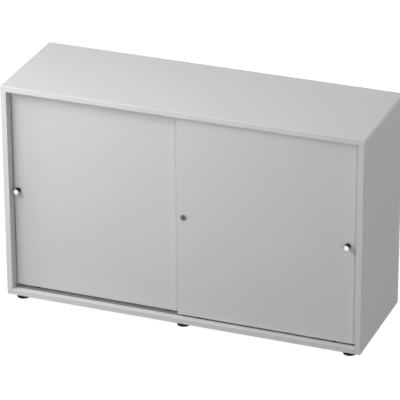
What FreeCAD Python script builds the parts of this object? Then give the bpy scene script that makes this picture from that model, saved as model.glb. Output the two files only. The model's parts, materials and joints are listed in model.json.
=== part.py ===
import FreeCAD, Part

import math
import os

V = FreeCAD.Vector

# Office sideboard, two file heights tall, with two doors that slide past each other.
# Frame: millimetres, +Z up, front towards -Y, origin on the floor under the middle.

# --- carcass ---
WIDTH = 1200.0
DEPTH = 385.0
CARCASS_HEIGHT = 730.0
BOARD = 19.0
EDGE_BAND = 2.0
EDGE_RADIUS = 1.5
BACK_THICKNESS = 8.0
BACK_INSET = 12.0
BACK_GROOVE_DEPTH = 8.0
BACK_FIT = 0.1

# --- dowels of the glued carcass ---
DOWEL_RADIUS = 4.0
DOWEL_IN_FACE = 10.0
DOWEL_IN_EDGE = 20.0
DOWEL_END_ROOM = 0.5
DOWEL_PITCH = 110.0
DOWELS_PER_JOINT = 3

# --- shelves on pins in rows of holes ---
SHELF_SIDE_GAP = 0.8
SHELF_BACK_GAP = 1.0
SHELF_SETBACK = 4.0
PIN_STEM_RADIUS = 2.5
PIN_STEM_LENGTH = 8.5
PIN_NOSE_RADIUS = 3.5
PIN_NOSE_LENGTH = 8.0
PIN_FLAT_HEIGHT = 2.5
PIN_HOLE_DEPTH = 9.0
PIN_ROW_INSET = 37.0
PIN_HOLE_PITCH = 32.0
PIN_HOLES_EACH_WAY = 1

# --- sliding doors ---
DOOR_THICKNESS = 12.0
DOOR_RECESS = 18.0
DOOR_SPACING = 4.0
DOOR_OVERLAP = 30.0
DOOR_SIDE_GAP = 2.0
DOOR_BOTTOM_GAP = 5.0
DOOR_TOP_GAP = 4.0
DOOR_BACK_CLEARANCE = 6.0

# --- rubber dots that the closed doors meet ---
BUFFER_RADIUS = 4.0
BUFFER_DOME = 0.5
BUFFER_CLEARANCE = 0.3
BUFFER_INSET = 60.0

# --- bottom rollers and their rail ---
WHEEL_RADIUS = 12.0
WHEEL_WIDTH = 4.4
WHEEL_HUB_RADIUS = 4.0
WHEEL_RIM_INNER_RADIUS = 9.0
WHEEL_WEB_RECESS = 1.0
WHEEL_EDGE_CHAMFER = 0.6
WHEEL_BORE_CLEARANCE = 0.05
WHEEL_RUNNING_GAP = 0.3
AXLE_RADIUS = 1.5
RUNNER_INSET = 70.0
RUNNER_WIDTH = 40.0
RUNNER_HEIGHT = 24.0
RUNNER_CORNER_RADIUS = 8.0
RUNNER_SKIN = 2.0
RUNNER_WHEEL_ROOM = 0.4
RUNNER_WHEEL_CROWN_ROOM = 1.2
RUNNER_FLANGE_OVERHANG = 12.0
RUNNER_FLANGE_THICKNESS = 1.2
RAIL_HEIGHT = 5.0
RAIL_GROOVE_DEPTH = 3.0
RAIL_GROOVE_CLEARANCE = 0.5
RAIL_WALL = 2.3

# --- top guides and their rail ---
GUIDE_INSET = 50.0
GUIDE_LENGTH = 30.0
GUIDE_BLOCK_HEIGHT = 12.0
GUIDE_BLOCK_THICKNESS = 8.0
GUIDE_TONGUE_THICKNESS = 3.0
GUIDE_TONGUE_SHOULDER = 3.0
GUIDE_TONGUE_ENTRY = 5.0
GUIDE_TONGUE_RADIUS = 3.0
GUIDE_SLOT_CLEARANCE = 0.4
GUIDE_SLOT_HEADROOM = 3.5
GUIDE_RAIL_ROOF = 1.5
GUIDE_RAIL_WALL = 2.3

# --- screws ---
SCREW_RADIUS = 1.5
SCREW_HEAD_RADIUS = 3.0
RAIL_SCREW_LENGTH = 14.0
RAIL_SCREW_END_INSET = 90.0
RAIL_SCREWS = 4
FITTING_SCREW_LENGTH = 9.0

# --- turned knobs ---
KNOB_RADIUS = 9.0
KNOB_LENGTH = 20.0
KNOB_FOOT_RADIUS = 7.0
KNOB_FOOT_THICKNESS = 2.0
KNOB_NECK_RADIUS = 4.5
KNOB_NECK_LENGTH = 4.0
KNOB_HEAD_LENGTH = 9.0
KNOB_RIM_CHAMFER = 1.2
KNOB_DIMPLE_RADIUS = 2.2
KNOB_DIMPLE_DEPTH = 0.7
KNOB_BORE_DEPTH = 11.0
KNOB_SCREW_RADIUS = 2.0
KNOB_SCREW_HEAD_RADIUS = 4.0
KNOB_SCREW_ENTRY = 10.0
KNOB_HEIGHT = 362.0
LEFT_KNOB_INSET = 15.0
RIGHT_KNOB_INSET = 30.0

# --- cylinder lock ---
LOCK_INSET = 22.0
LOCK_HEIGHT = 366.0
LOCK_FLANGE_RADIUS = 11.0
LOCK_FLANGE_THICKNESS = 1.5
LOCK_FLANGE_CHAMFER = 0.6
LOCK_BARREL_RADIUS = 9.2
PLUG_RADIUS = 6.0
PLUG_HEAD_RADIUS = 7.5
PLUG_HEAD_LENGTH = 4.0
PLUG_SINK = 0.4
PLUG_CLEARANCE = 0.05
PLUG_END_PLAY = 0.1
KEYWAY_WIDTH = 1.6
KEYWAY_HEIGHT = 8.0
KEYWAY_DEPTH = 7.0
TONGUE_THICKNESS = 1.5
TONGUE_STANDOFF = 1.0
TONGUE_WIDTH = 8.0
TONGUE_HUB_RADIUS = 6.5
TONGUE_REACH = 20.0
TONGUE_SCREW_RADIUS = 1.5
TONGUE_SCREW_HEAD_RADIUS = 2.8
TONGUE_SCREW_LENGTH = 6.0
STRIKER_PLATE_WIDTH = 14.0
STRIKER_PLATE_HEIGHT = 24.0
STRIKER_PLATE_THICKNESS = 1.0
STRIKER_RIB_WIDTH = 3.5
STRIKER_RIB_RELIEF = 1.0
STRIKER_PLAY = 1.0
STRIKER_HUB_ROOM = 1.5
STRIKER_SCREW_PITCH = 12.0

# --- levelling feet ---
FOOT_HEIGHT = 15.0
FOOT_RADIUS = 21.0
FOOT_RIM_HEIGHT = 4.0
FOOT_RIM_CHAMFER = 1.2
FOOT_PAD_HEIGHT = 10.0
FOOT_HUB_ACROSS_FLATS = 17.0
FOOT_HUB_FLAT_HEIGHT = 3.0
FOOT_SIDE_INSET = 44.0
FOOT_EDGE_INSET = 30.0
STEM_RADIUS = 4.0
STEM_FLOOR = 3.0
STEM_ENTRY = 11.0
STEM_TIP_CHAMFER = 0.8
SOCKET_CLEARANCE = 0.05
SOCKET_FLANGE_RADIUS = 14.0
SOCKET_FLANGE_THICKNESS = 3.0
SOCKET_FLANGE_CHAMFER = 1.0
SOCKET_SLEEVE_RADIUS = 7.0
SOCKET_SLEEVE_LENGTH = 12.0

# --- planes that follow from the sizes above ---
FRONT_Y = -DEPTH / 2
BACK_Y = DEPTH / 2
INNER_X = WIDTH / 2 - BOARD
BASE_Z = FOOT_HEIGHT
FLOOR_Z = BASE_Z + BOARD
TOP_Z = BASE_Z + CARCASS_HEIGHT
CEILING_Z = TOP_Z - BOARD
BACK_PANEL_Y = BACK_Y - BACK_INSET - BACK_THICKNESS

FRONT_DOOR_Y = FRONT_Y + DOOR_RECESS
REAR_DOOR_Y = FRONT_DOOR_Y + DOOR_THICKNESS + DOOR_SPACING
DOOR_LOW_Z = FLOOR_Z + DOOR_BOTTOM_GAP
DOOR_HIGH_Z = CEILING_Z - DOOR_TOP_GAP
DOOR_OUTER_X = INNER_X - DOOR_SIDE_GAP
FRONT_TRACK_Y = FRONT_DOOR_Y + DOOR_THICKNESS / 2
REAR_TRACK_Y = REAR_DOOR_Y + DOOR_THICKNESS / 2
TRACK_MID_Y = (FRONT_TRACK_Y + REAR_TRACK_Y) / 2
TRACK_PITCH = REAR_TRACK_Y - FRONT_TRACK_Y

PARTITION_FRONT_Y = REAR_DOOR_Y + DOOR_THICKNESS + DOOR_BACK_CLEARANCE
SHELF_FRONT_Y = PARTITION_FRONT_Y + SHELF_SETBACK
SHELF_BACK_Y = BACK_PANEL_Y - SHELF_BACK_GAP
SHELF_Z = FLOOR_Z + (CEILING_Z - FLOOR_Z - BOARD) / 2
PIN_Z = SHELF_Z - PIN_FLAT_HEIGHT
PIN_ROWS_Y = (PARTITION_FRONT_Y + PIN_ROW_INSET, BACK_PANEL_Y - PIN_ROW_INSET)

AXLE_Z = FLOOR_Z - RAIL_GROOVE_DEPTH + WHEEL_RUNNING_GAP + WHEEL_RADIUS
LOCK_X = -DOOR_OVERLAP / 2 + LOCK_INSET
LOCK_Z = BASE_Z + LOCK_HEIGHT
KNOB_Z = BASE_Z + KNOB_HEIGHT
LOCK_BACK_Y = FRONT_DOOR_Y + DOOR_THICKNESS

# --- directions, the two ends of each, and how near two coordinates count as one ---
X_AXIS, Y_AXIS, Z_AXIS = range(3)
LOW, HIGH = range(2)
SAME_PLACE = 1e-6


def box(low, high):
    """A block from its lowest corner to its highest."""
    size = [h - l for l, h in zip(low, high)]
    return Part.makeBox(*size, V(*low))


def cylinder(radius, start, end):
    """A round bar between two points."""
    axis = end - start
    return Part.makeCylinder(radius, axis.Length, start, axis)


def union(shapes):
    """One clean solid from pieces that touch."""
    return shapes[0].fuse(shapes[1:]).removeSplitter()


def turned(profile, base, direction):
    """Revolve a closed (radius, height) profile about the axis through base."""
    points = [V(r, 0, h) for r, h in profile]
    face = Part.Face(Part.makePolygon(points + points[:1]))
    solid = face.revolve(V(0, 0, 0), V(0, 0, 1), 360)
    return placed(solid, base, direction)


def placed(shape, base, direction):
    """Turn a shape from +Z to a direction and move it to its base point."""
    moved = shape.copy()
    turn = FreeCAD.Rotation(V(0, 0, 1), direction)
    moved.Placement = FreeCAD.Placement(base, turn).multiply(moved.Placement)
    return moved


def banded_board(low, high, thin_axis, banded):
    """A board and the plastic edging around it.

    banded lists the edged sides as (axis, LOW or HIGH). The edging's outer
    corners are rounded along the board, and the core fills the rest.
    """
    limits = (low, high)
    outer = box(low, high)
    rounded = []
    for edge in outer.Edges:
        start, end = edge.Vertexes[0].Point, edge.Vertexes[-1].Point
        along_thickness = abs(start[thin_axis] - end[thin_axis]) > SAME_PLACE
        for axis, side in banded:
            plane = limits[side][axis]
            on_plane = all(abs(point[axis] - plane) < SAME_PLACE for point in (start, end))
            if on_plane and not along_thickness:
                rounded.append(edge)
    outer = outer.makeFillet(EDGE_RADIUS, rounded)
    core_low, core_high = list(low), list(high)
    for axis, side in banded:
        if side == LOW:
            core_low[axis] += EDGE_BAND
        else:
            core_high[axis] -= EDGE_BAND
    core = box(core_low, core_high)
    return core, outer.cut(core)


def countersunk_screw(radius, head_radius, length, seat, direction):
    """A screw whose flat head lies in the seat plane and whose shank points along direction."""
    head_height = head_radius - radius
    profile = [
        (0, 0),
        (head_radius, 0),
        (radius, head_height),
        (radius, length),
        (0, length),
    ]
    return turned(profile, seat, direction)


def dowel_places():
    """Places of a joint's dowels along the depth, spread about the middle."""
    middle = (DOWELS_PER_JOINT - 1) / 2
    return [(i - middle) * DOWEL_PITCH for i in range(DOWELS_PER_JOINT)]


def dowel_axes():
    """Each dowel as (point where the two boards meet, direction into the edge board)."""
    axes = []
    side_mid_x = WIDTH / 2 - BOARD / 2
    for y in dowel_places():
        for side in (-1, 1):
            axes.append((V(side * side_mid_x, y, CEILING_Z), V(0, 0, -1)))
            axes.append((V(side * INNER_X, y, BASE_Z + BOARD / 2), V(-side, 0, 0)))
        axes.append((V(0, y, CEILING_Z), V(0, 0, -1)))
        axes.append((V(0, y, FLOOR_Z), V(0, 0, 1)))
    return axes


def dowels(end_room):
    """All carcass dowels, or their holes when end_room is above zero."""
    pieces = []
    for joint, into_edge in dowel_axes():
        start = joint - into_edge * (DOWEL_IN_FACE + end_room)
        end = joint + into_edge * (DOWEL_IN_EDGE + end_room)
        pieces.append(cylinder(DOWEL_RADIUS, start, end))
    return pieces


def pin_hole_heights():
    """Heights of one row of shelf pin holes."""
    steps = range(-PIN_HOLES_EACH_WAY, PIN_HOLES_EACH_WAY + 1)
    return [PIN_Z + i * PIN_HOLE_PITCH for i in steps]


def pin_walls():
    """Faces that carry shelf pins, as (x of the face, direction into the board)."""
    return [
        (-INNER_X, V(-1, 0, 0)),
        (-BOARD / 2, V(1, 0, 0)),
        (BOARD / 2, V(-1, 0, 0)),
        (INNER_X, V(1, 0, 0)),
    ]


def pin_holes(face_x, into_board):
    """The two rows of shelf pin holes in one face."""
    holes = []
    for y in PIN_ROWS_Y:
        for z in pin_hole_heights():
            mouth = V(face_x, y, z)
            holes.append(cylinder(PIN_STEM_RADIUS, mouth, mouth + into_board * PIN_HOLE_DEPTH))
    return holes


def shelf_pin(face_x, into_board, y):
    """A pin in its hole, with a flat on its nose that the shelf lies on."""
    mouth = V(face_x, y, PIN_Z)
    stem = cylinder(PIN_STEM_RADIUS, mouth, mouth + into_board * PIN_STEM_LENGTH)
    tip = mouth - into_board * PIN_NOSE_LENGTH
    nose = cylinder(PIN_NOSE_RADIUS, mouth, tip)
    above_flat = box(
        [min(mouth.x, tip.x), y - PIN_NOSE_RADIUS, PIN_Z + PIN_FLAT_HEIGHT],
        [max(mouth.x, tip.x), y + PIN_NOSE_RADIUS, PIN_Z + PIN_NOSE_RADIUS],
    )
    return union([stem, nose.cut(above_flat)])


def rail_screw_places():
    """Places of a rail's screws along its length."""
    reach = INNER_X - RAIL_SCREW_END_INSET
    step = 2 * reach / (RAIL_SCREWS - 1)
    return [-reach + i * step for i in range(RAIL_SCREWS)]


def rail_screws():
    """Screws of the bottom rail, which point down, and of the top rail, which point up."""
    screws = []
    for x in rail_screw_places():
        for z, direction in ((FLOOR_Z, V(0, 0, -1)), (CEILING_Z, V(0, 0, 1))):
            seat = V(x, TRACK_MID_Y, z)
            args = (SCREW_RADIUS, SCREW_HEAD_RADIUS, RAIL_SCREW_LENGTH, seat, direction)
            screws.append(countersunk_screw(*args))
    return screws


def running_rail_envelope():
    """The space that the bottom rail takes in the bottom panel."""
    half = TRACK_PITCH / 2 + WHEEL_WIDTH / 2 + RAIL_GROOVE_CLEARANCE + RAIL_WALL
    low = [-INNER_X, TRACK_MID_Y - half, FLOOR_Z - RAIL_HEIGHT]
    return low, [INNER_X, TRACK_MID_Y + half, FLOOR_Z]


def guide_rail_envelope():
    """The space that the top rail takes in the top panel."""
    half_slot = GUIDE_TONGUE_THICKNESS / 2 + GUIDE_SLOT_CLEARANCE
    half = TRACK_PITCH / 2 + half_slot + GUIDE_RAIL_WALL
    height = GUIDE_TONGUE_ENTRY + GUIDE_SLOT_HEADROOM + GUIDE_RAIL_ROOF
    low = [-INNER_X, TRACK_MID_Y - half, CEILING_Z]
    return low, [INNER_X, TRACK_MID_Y + half, CEILING_Z + height]


def foot_places():
    """The six feet by name."""
    side_x = WIDTH / 2 - FOOT_SIDE_INSET
    edge_y = DEPTH / 2 - FOOT_EDGE_INSET
    places = {}
    for row, y in (("front", -edge_y), ("back", edge_y)):
        for column, x in (("left", -side_x), ("middle", 0.0), ("right", side_x)):
            places[row + "_" + column] = V(x, y, 0)
    return places


def carcass():
    """The boards of the carcass with their edging."""
    nodes = {}
    holes = dowels(DOWEL_END_ROOM)
    screws = rail_screws()
    back_slot = back_panel(BACK_FIT)

    all_round = [(X_AXIS, LOW), (X_AXIS, HIGH), (Y_AXIS, LOW), (Y_AXIS, HIGH)]
    top, band = banded_board(
        [-WIDTH / 2, FRONT_Y, CEILING_Z], [WIDTH / 2, BACK_Y, TOP_Z], Z_AXIS, all_round
    )
    nodes["top_panel"] = top.cut(holes + screws + [back_slot, box(*guide_rail_envelope())])
    nodes["top_panel_edging"] = band

    front_and_back = [(Y_AXIS, LOW), (Y_AXIS, HIGH)]
    bottom, band = banded_board(
        [-INNER_X, FRONT_Y, BASE_Z], [INNER_X, BACK_Y, FLOOR_Z], Z_AXIS, front_and_back
    )
    sleeves = [foot_socket_hole(place) for place in foot_places().values()]
    groove = box(*running_rail_envelope())
    nodes["bottom_panel"] = bottom.cut(holes + screws + sleeves + [back_slot, groove])
    nodes["bottom_panel_edging"] = band

    for name, side in (("left", -1), ("right", 1)):
        low_x, high_x = sorted((side * WIDTH / 2, side * INNER_X))
        panel, band = banded_board(
            [low_x, FRONT_Y, BASE_Z],
            [high_x, BACK_Y, CEILING_Z],
            X_AXIS,
            front_and_back + [(Z_AXIS, LOW)],
        )
        rows = pin_holes(side * INNER_X, V(side, 0, 0))
        nodes[name + "_side_panel"] = panel.cut(holes + rows + [back_slot])
        nodes[name + "_side_edging"] = band

    partition, band = banded_board(
        [-BOARD / 2, PARTITION_FRONT_Y, FLOOR_Z],
        [BOARD / 2, BACK_PANEL_Y - BACK_FIT, CEILING_Z],
        X_AXIS,
        [(Y_AXIS, LOW)],
    )
    rows = pin_holes(-BOARD / 2, V(1, 0, 0)) + pin_holes(BOARD / 2, V(-1, 0, 0))
    nodes["centre_partition"] = partition.cut(holes + rows)
    nodes["centre_partition_edging"] = band

    nodes["back_panel"] = back_panel(0.0)
    nodes["carcass_dowels"] = Part.makeCompound(dowels(0.0))
    return nodes


def back_panel(room):
    """The back panel, let into grooves all round, or with room its grooves."""
    low = [
        -INNER_X - BACK_GROOVE_DEPTH - room,
        BACK_PANEL_Y - room,
        FLOOR_Z - BACK_GROOVE_DEPTH - room,
    ]
    high = [
        INNER_X + BACK_GROOVE_DEPTH + room,
        BACK_PANEL_Y + BACK_THICKNESS + room,
        CEILING_Z + BACK_GROOVE_DEPTH + room,
    ]
    return box(low, high)


def shelves():
    """One shelf in each half, on four pins each."""
    nodes = {}
    inner_x = BOARD / 2 + SHELF_SIDE_GAP
    outer_x = INNER_X - SHELF_SIDE_GAP
    for name, side in (("left", -1), ("right", 1)):
        low_x, high_x = sorted((side * inner_x, side * outer_x))
        shelf, band = banded_board(
            [low_x, SHELF_FRONT_Y, SHELF_Z],
            [high_x, SHELF_BACK_Y, SHELF_Z + BOARD],
            Z_AXIS,
            [(Y_AXIS, LOW)],
        )
        nodes[name + "_shelf"] = shelf
        nodes[name + "_shelf_edging"] = band
    pins = []
    for face_x, into_board in pin_walls():
        pins += [shelf_pin(face_x, into_board, y) for y in PIN_ROWS_Y]
    nodes["shelf_pins"] = Part.makeCompound(pins)
    return nodes


def rails():
    """The double running rail below and the double guide rail above."""
    nodes = {}
    screws = rail_screws()
    low, high = running_rail_envelope()
    half_groove = WHEEL_WIDTH / 2 + RAIL_GROOVE_CLEARANCE
    grooves = []
    for track_y in (FRONT_TRACK_Y, REAR_TRACK_Y):
        grooves.append(
            box(
                [low[0], track_y - half_groove, FLOOR_Z - RAIL_GROOVE_DEPTH],
                [high[0], track_y + half_groove, FLOOR_Z],
            )
        )
    nodes["bottom_running_rail"] = box(low, high).cut(grooves + screws)

    low, high = guide_rail_envelope()
    half_slot = GUIDE_TONGUE_THICKNESS / 2 + GUIDE_SLOT_CLEARANCE
    slots = []
    for track_y in (FRONT_TRACK_Y, REAR_TRACK_Y):
        slots.append(
            box(
                [low[0], track_y - half_slot, CEILING_Z],
                [high[0], track_y + half_slot, high[2] - GUIDE_RAIL_ROOF],
            )
        )
    nodes["top_guide_rail"] = box(low, high).cut(slots + screws)
    nodes["rail_screws"] = Part.makeCompound(screws)
    return nodes


def door_buffers():
    """Domed rubber dots on the side panels, where the closed doors' edges meet them."""
    dots = []
    height = DOOR_SIDE_GAP - BUFFER_CLEARANCE
    profile = [
        (0, 0),
        (BUFFER_RADIUS, 0),
        (BUFFER_RADIUS, height - BUFFER_DOME),
        (BUFFER_RADIUS - BUFFER_DOME, height),
        (0, height),
    ]
    for side, y in ((-1, REAR_TRACK_Y), (1, FRONT_TRACK_Y)):
        for z in (DOOR_LOW_Z + BUFFER_INSET, DOOR_HIGH_Z - BUFFER_INSET):
            dots.append(turned(profile, V(side * INNER_X, y, z), V(-side, 0, 0)))
    return {"door_buffers": Part.makeCompound(dots)}


def runner_envelope(centre_x, door_y, overhang):
    """A bottom fitting's outline: a plate with rounded upper corners, as deep as its pocket."""
    half = RUNNER_WIDTH / 2 + overhang
    top_z = DOOR_LOW_Z + RUNNER_HEIGHT
    plate = box(
        [centre_x - half, door_y + RUNNER_SKIN, DOOR_LOW_Z],
        [centre_x + half, door_y + DOOR_THICKNESS, top_z],
    )
    corners = []
    for edge in plate.Edges:
        start, end = edge.Vertexes[0].Point, edge.Vertexes[-1].Point
        along_y = abs(start.y - end.y) > SAME_PLACE
        if along_y and abs(start.z - top_z) < SAME_PLACE:
            corners.append(edge)
    return plate.makeFillet(RUNNER_CORNER_RADIUS, corners)


def runner_flange(centre_x, door_y):
    """The thin plate of a bottom fitting on the door's back, wider than its pocket."""
    back_y = door_y + DOOR_THICKNESS
    plate = runner_envelope(centre_x, door_y, RUNNER_FLANGE_OVERHANG)
    half = RUNNER_WIDTH / 2 + RUNNER_FLANGE_OVERHANG
    keep = box(
        [centre_x - half, back_y - RUNNER_FLANGE_THICKNESS, DOOR_LOW_Z],
        [centre_x + half, back_y, DOOR_LOW_Z + RUNNER_HEIGHT],
    )
    flange = plate.common(keep)
    flange.translate(V(0, RUNNER_FLANGE_THICKNESS, 0))
    return flange


def runner_screws(centre_x, door_y):
    """The two screws through a bottom fitting's flange."""
    screws = []
    offset = RUNNER_WIDTH / 2 + RUNNER_FLANGE_OVERHANG / 2
    for side in (-1, 1):
        seat = V(
            centre_x + side * offset,
            door_y + DOOR_THICKNESS + RUNNER_FLANGE_THICKNESS,
            DOOR_LOW_Z + RUNNER_HEIGHT / 2,
        )
        args = (SCREW_RADIUS, SCREW_HEAD_RADIUS, FITTING_SCREW_LENGTH, seat, V(0, -1, 0))
        screws.append(countersunk_screw(*args))
    return screws


def runner_axle(centre_x, door_y):
    """The steel pin that a wheel turns on, flush with the flange."""
    start = V(centre_x, door_y + RUNNER_SKIN, AXLE_Z)
    end = V(centre_x, door_y + DOOR_THICKNESS + RUNNER_FLANGE_THICKNESS, AXLE_Z)
    return cylinder(AXLE_RADIUS, start, end)


def runner_housing(centre_x, door_y):
    """A bottom fitting: a moulded block in the door's edge with a slot for its wheel."""
    body = runner_envelope(centre_x, door_y, 0.0)
    room = WHEEL_WIDTH / 2 + RUNNER_WHEEL_ROOM
    mid_y = door_y + DOOR_THICKNESS / 2
    crown = WHEEL_RADIUS + RUNNER_WHEEL_CROWN_ROOM
    arch = cylinder(crown, V(centre_x, mid_y - room, AXLE_Z), V(centre_x, mid_y + room, AXLE_Z))
    mouth = box(
        [centre_x - crown, mid_y - room, DOOR_LOW_Z],
        [centre_x + crown, mid_y + room, max(AXLE_Z, DOOR_LOW_Z + EDGE_BAND)],
    )
    block = union([body, runner_flange(centre_x, door_y)])
    screws = runner_screws(centre_x, door_y)
    return block.cut([arch, mouth, runner_axle(centre_x, door_y)] + screws)


def wheel(centre_x, track_y):
    """A roller with a rim, a thin web and a hub, on its axle along Y."""
    half = WHEEL_WIDTH / 2
    web = half - WHEEL_WEB_RECESS
    one_side = [
        (WHEEL_RADIUS, half - WHEEL_EDGE_CHAMFER),
        (WHEEL_RADIUS - WHEEL_EDGE_CHAMFER, half),
        (WHEEL_RIM_INNER_RADIUS, half),
        (WHEEL_RIM_INNER_RADIUS, web),
        (WHEEL_HUB_RADIUS, web),
        (WHEEL_HUB_RADIUS, half),
        (AXLE_RADIUS + WHEEL_BORE_CLEARANCE, half),
    ]
    other_side = [(radius, -height) for radius, height in reversed(one_side)]
    return turned(one_side + other_side, V(centre_x, track_y, AXLE_Z), V(0, 1, 0))


def guide_block(centre_x, door_y):
    """The space that a top guide's block takes in the door's upper edge."""
    mid_y = door_y + DOOR_THICKNESS / 2
    return box(
        [
            centre_x - GUIDE_LENGTH / 2,
            mid_y - GUIDE_BLOCK_THICKNESS / 2,
            DOOR_HIGH_Z - GUIDE_BLOCK_HEIGHT,
        ],
        [centre_x + GUIDE_LENGTH / 2, mid_y + GUIDE_BLOCK_THICKNESS / 2, DOOR_HIGH_Z],
    )


def top_guide(centre_x, door_y):
    """A top guide: a block in the door with a round-shouldered tongue up in the rail's slot."""
    mid_y = door_y + DOOR_THICKNESS / 2
    half = GUIDE_LENGTH / 2 - GUIDE_TONGUE_SHOULDER
    tip_z = CEILING_Z + GUIDE_TONGUE_ENTRY
    tongue = box(
        [centre_x - half, mid_y - GUIDE_TONGUE_THICKNESS / 2, DOOR_HIGH_Z],
        [centre_x + half, mid_y + GUIDE_TONGUE_THICKNESS / 2, tip_z],
    )
    shoulders = []
    for edge in tongue.Edges:
        start, end = edge.Vertexes[0].Point, edge.Vertexes[-1].Point
        along_y = abs(start.y - end.y) > SAME_PLACE
        if along_y and abs(start.z - tip_z) < SAME_PLACE:
            shoulders.append(edge)
    tongue = tongue.makeFillet(GUIDE_TONGUE_RADIUS, shoulders)
    return union([guide_block(centre_x, door_y), tongue])


def knob(centre_x, door_y):
    """A turned knob: foot, waisted neck, drum-shaped head with a dimple in its face."""
    neck_start = KNOB_FOOT_THICKNESS
    neck_end = neck_start + KNOB_NECK_LENGTH
    head_start = KNOB_LENGTH - KNOB_HEAD_LENGTH
    profile = [
        (KNOB_FOOT_RADIUS, 0),
        (KNOB_FOOT_RADIUS, neck_start),
        (KNOB_NECK_RADIUS, neck_start),
        (KNOB_NECK_RADIUS, neck_end),
        (KNOB_RADIUS, head_start),
        (KNOB_RADIUS, KNOB_LENGTH - KNOB_RIM_CHAMFER),
        (KNOB_RADIUS - KNOB_RIM_CHAMFER, KNOB_LENGTH),
        (KNOB_DIMPLE_RADIUS, KNOB_LENGTH),
        (0, KNOB_LENGTH - KNOB_DIMPLE_DEPTH),
        (0, KNOB_BORE_DEPTH),
        (KNOB_SCREW_RADIUS, KNOB_BORE_DEPTH),
        (KNOB_SCREW_RADIUS, 0),
    ]
    return turned(profile, V(centre_x, door_y, KNOB_Z), V(0, -1, 0))


def knob_screw(centre_x, door_y):
    """The screw through the door that holds a knob, its head flush with the door's back."""
    seat = V(centre_x, door_y + DOOR_THICKNESS, KNOB_Z)
    length = DOOR_THICKNESS + KNOB_SCREW_ENTRY
    args = (KNOB_SCREW_RADIUS, KNOB_SCREW_HEAD_RADIUS, length, seat, V(0, -1, 0))
    return countersunk_screw(*args)


def lock_barrel_hole():
    """The round hole for the lock through the right door."""
    start = V(LOCK_X, FRONT_DOOR_Y, LOCK_Z)
    return cylinder(LOCK_BARREL_RADIUS, start, V(LOCK_X, LOCK_BACK_Y, LOCK_Z))


def lock_housing():
    """The lock's fixed sleeve: a chamfered flange on the door and a stepped bore."""
    rear = DOOR_THICKNESS
    front = -LOCK_FLANGE_THICKNESS
    step = front + PLUG_SINK + PLUG_HEAD_LENGTH + PLUG_END_PLAY
    head_bore = PLUG_HEAD_RADIUS + PLUG_CLEARANCE
    bore = PLUG_RADIUS + PLUG_CLEARANCE
    profile = [
        (head_bore, front),
        (LOCK_FLANGE_RADIUS - LOCK_FLANGE_CHAMFER, front),
        (LOCK_FLANGE_RADIUS, front + LOCK_FLANGE_CHAMFER),
        (LOCK_FLANGE_RADIUS, 0),
        (LOCK_BARREL_RADIUS, 0),
        (LOCK_BARREL_RADIUS, rear),
        (bore, rear),
        (bore, step),
        (head_bore, step),
    ]
    return turned(profile, V(LOCK_X, FRONT_DOOR_Y, LOCK_Z), V(0, 1, 0))


def tongue_screw():
    """The screw that holds the tongue on the plug, its head flush with the tongue."""
    seat = V(LOCK_X, LOCK_BACK_Y + TONGUE_STANDOFF + TONGUE_THICKNESS, LOCK_Z)
    args = (TONGUE_SCREW_RADIUS, TONGUE_SCREW_HEAD_RADIUS, TONGUE_SCREW_LENGTH, seat)
    return countersunk_screw(*args, V(0, -1, 0))


def lock_plug():
    """The turning plug, with its keyway in front and a tail that carries the tongue."""
    face = -LOCK_FLANGE_THICKNESS + PLUG_SINK
    tail = DOOR_THICKNESS + TONGUE_STANDOFF
    step = face + PLUG_HEAD_LENGTH
    profile = [
        (0, face),
        (PLUG_HEAD_RADIUS, face),
        (PLUG_HEAD_RADIUS, step),
        (PLUG_RADIUS, step),
        (PLUG_RADIUS, tail),
        (0, tail),
    ]
    solid = turned(profile, V(LOCK_X, FRONT_DOOR_Y, LOCK_Z), V(0, 1, 0))
    keyway = box(
        [LOCK_X - KEYWAY_WIDTH / 2, FRONT_DOOR_Y + face, LOCK_Z - KEYWAY_HEIGHT / 2],
        [
            LOCK_X + KEYWAY_WIDTH / 2,
            FRONT_DOOR_Y + face + KEYWAY_DEPTH,
            LOCK_Z + KEYWAY_HEIGHT / 2,
        ],
    )
    return solid.cut([keyway, tongue_screw()])


def lock_tongue():
    """The flat tongue between the doors. Unlocked it points along +X, locked it hangs down."""
    front = LOCK_BACK_Y + TONGUE_STANDOFF
    back = front + TONGUE_THICKNESS
    hub = cylinder(TONGUE_HUB_RADIUS, V(LOCK_X, front, LOCK_Z), V(LOCK_X, back, LOCK_Z))
    end_x = LOCK_X + TONGUE_REACH - TONGUE_WIDTH / 2
    end = cylinder(TONGUE_WIDTH / 2, V(end_x, front, LOCK_Z), V(end_x, back, LOCK_Z))
    arm = box(
        [LOCK_X, front, LOCK_Z - TONGUE_WIDTH / 2],
        [end_x, back, LOCK_Z + TONGUE_WIDTH / 2],
    )
    return union([hub, arm, end]).cut(tongue_screw())


def striker_right_x():
    """The striker's face that the locked tongue meets."""
    return LOCK_X - TONGUE_WIDTH / 2 - STRIKER_PLAY


def striker_top_z():
    """The striker's upper edge, clear of the tongue's hub."""
    return LOCK_Z - TONGUE_HUB_RADIUS - STRIKER_HUB_ROOM


def striker_screws():
    """The two screws of the striker in the left door."""
    x = striker_right_x() - (STRIKER_PLATE_WIDTH + STRIKER_RIB_WIDTH) / 2
    mid_z = striker_top_z() - STRIKER_PLATE_HEIGHT / 2
    screws = []
    for side in (-1, 1):
        seat = V(x, REAR_DOOR_Y - STRIKER_PLATE_THICKNESS, mid_z + side * STRIKER_SCREW_PITCH / 2)
        args = (SCREW_RADIUS, SCREW_HEAD_RADIUS, FITTING_SCREW_LENGTH, seat, V(0, 1, 0))
        screws.append(countersunk_screw(*args))
    return screws


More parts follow.
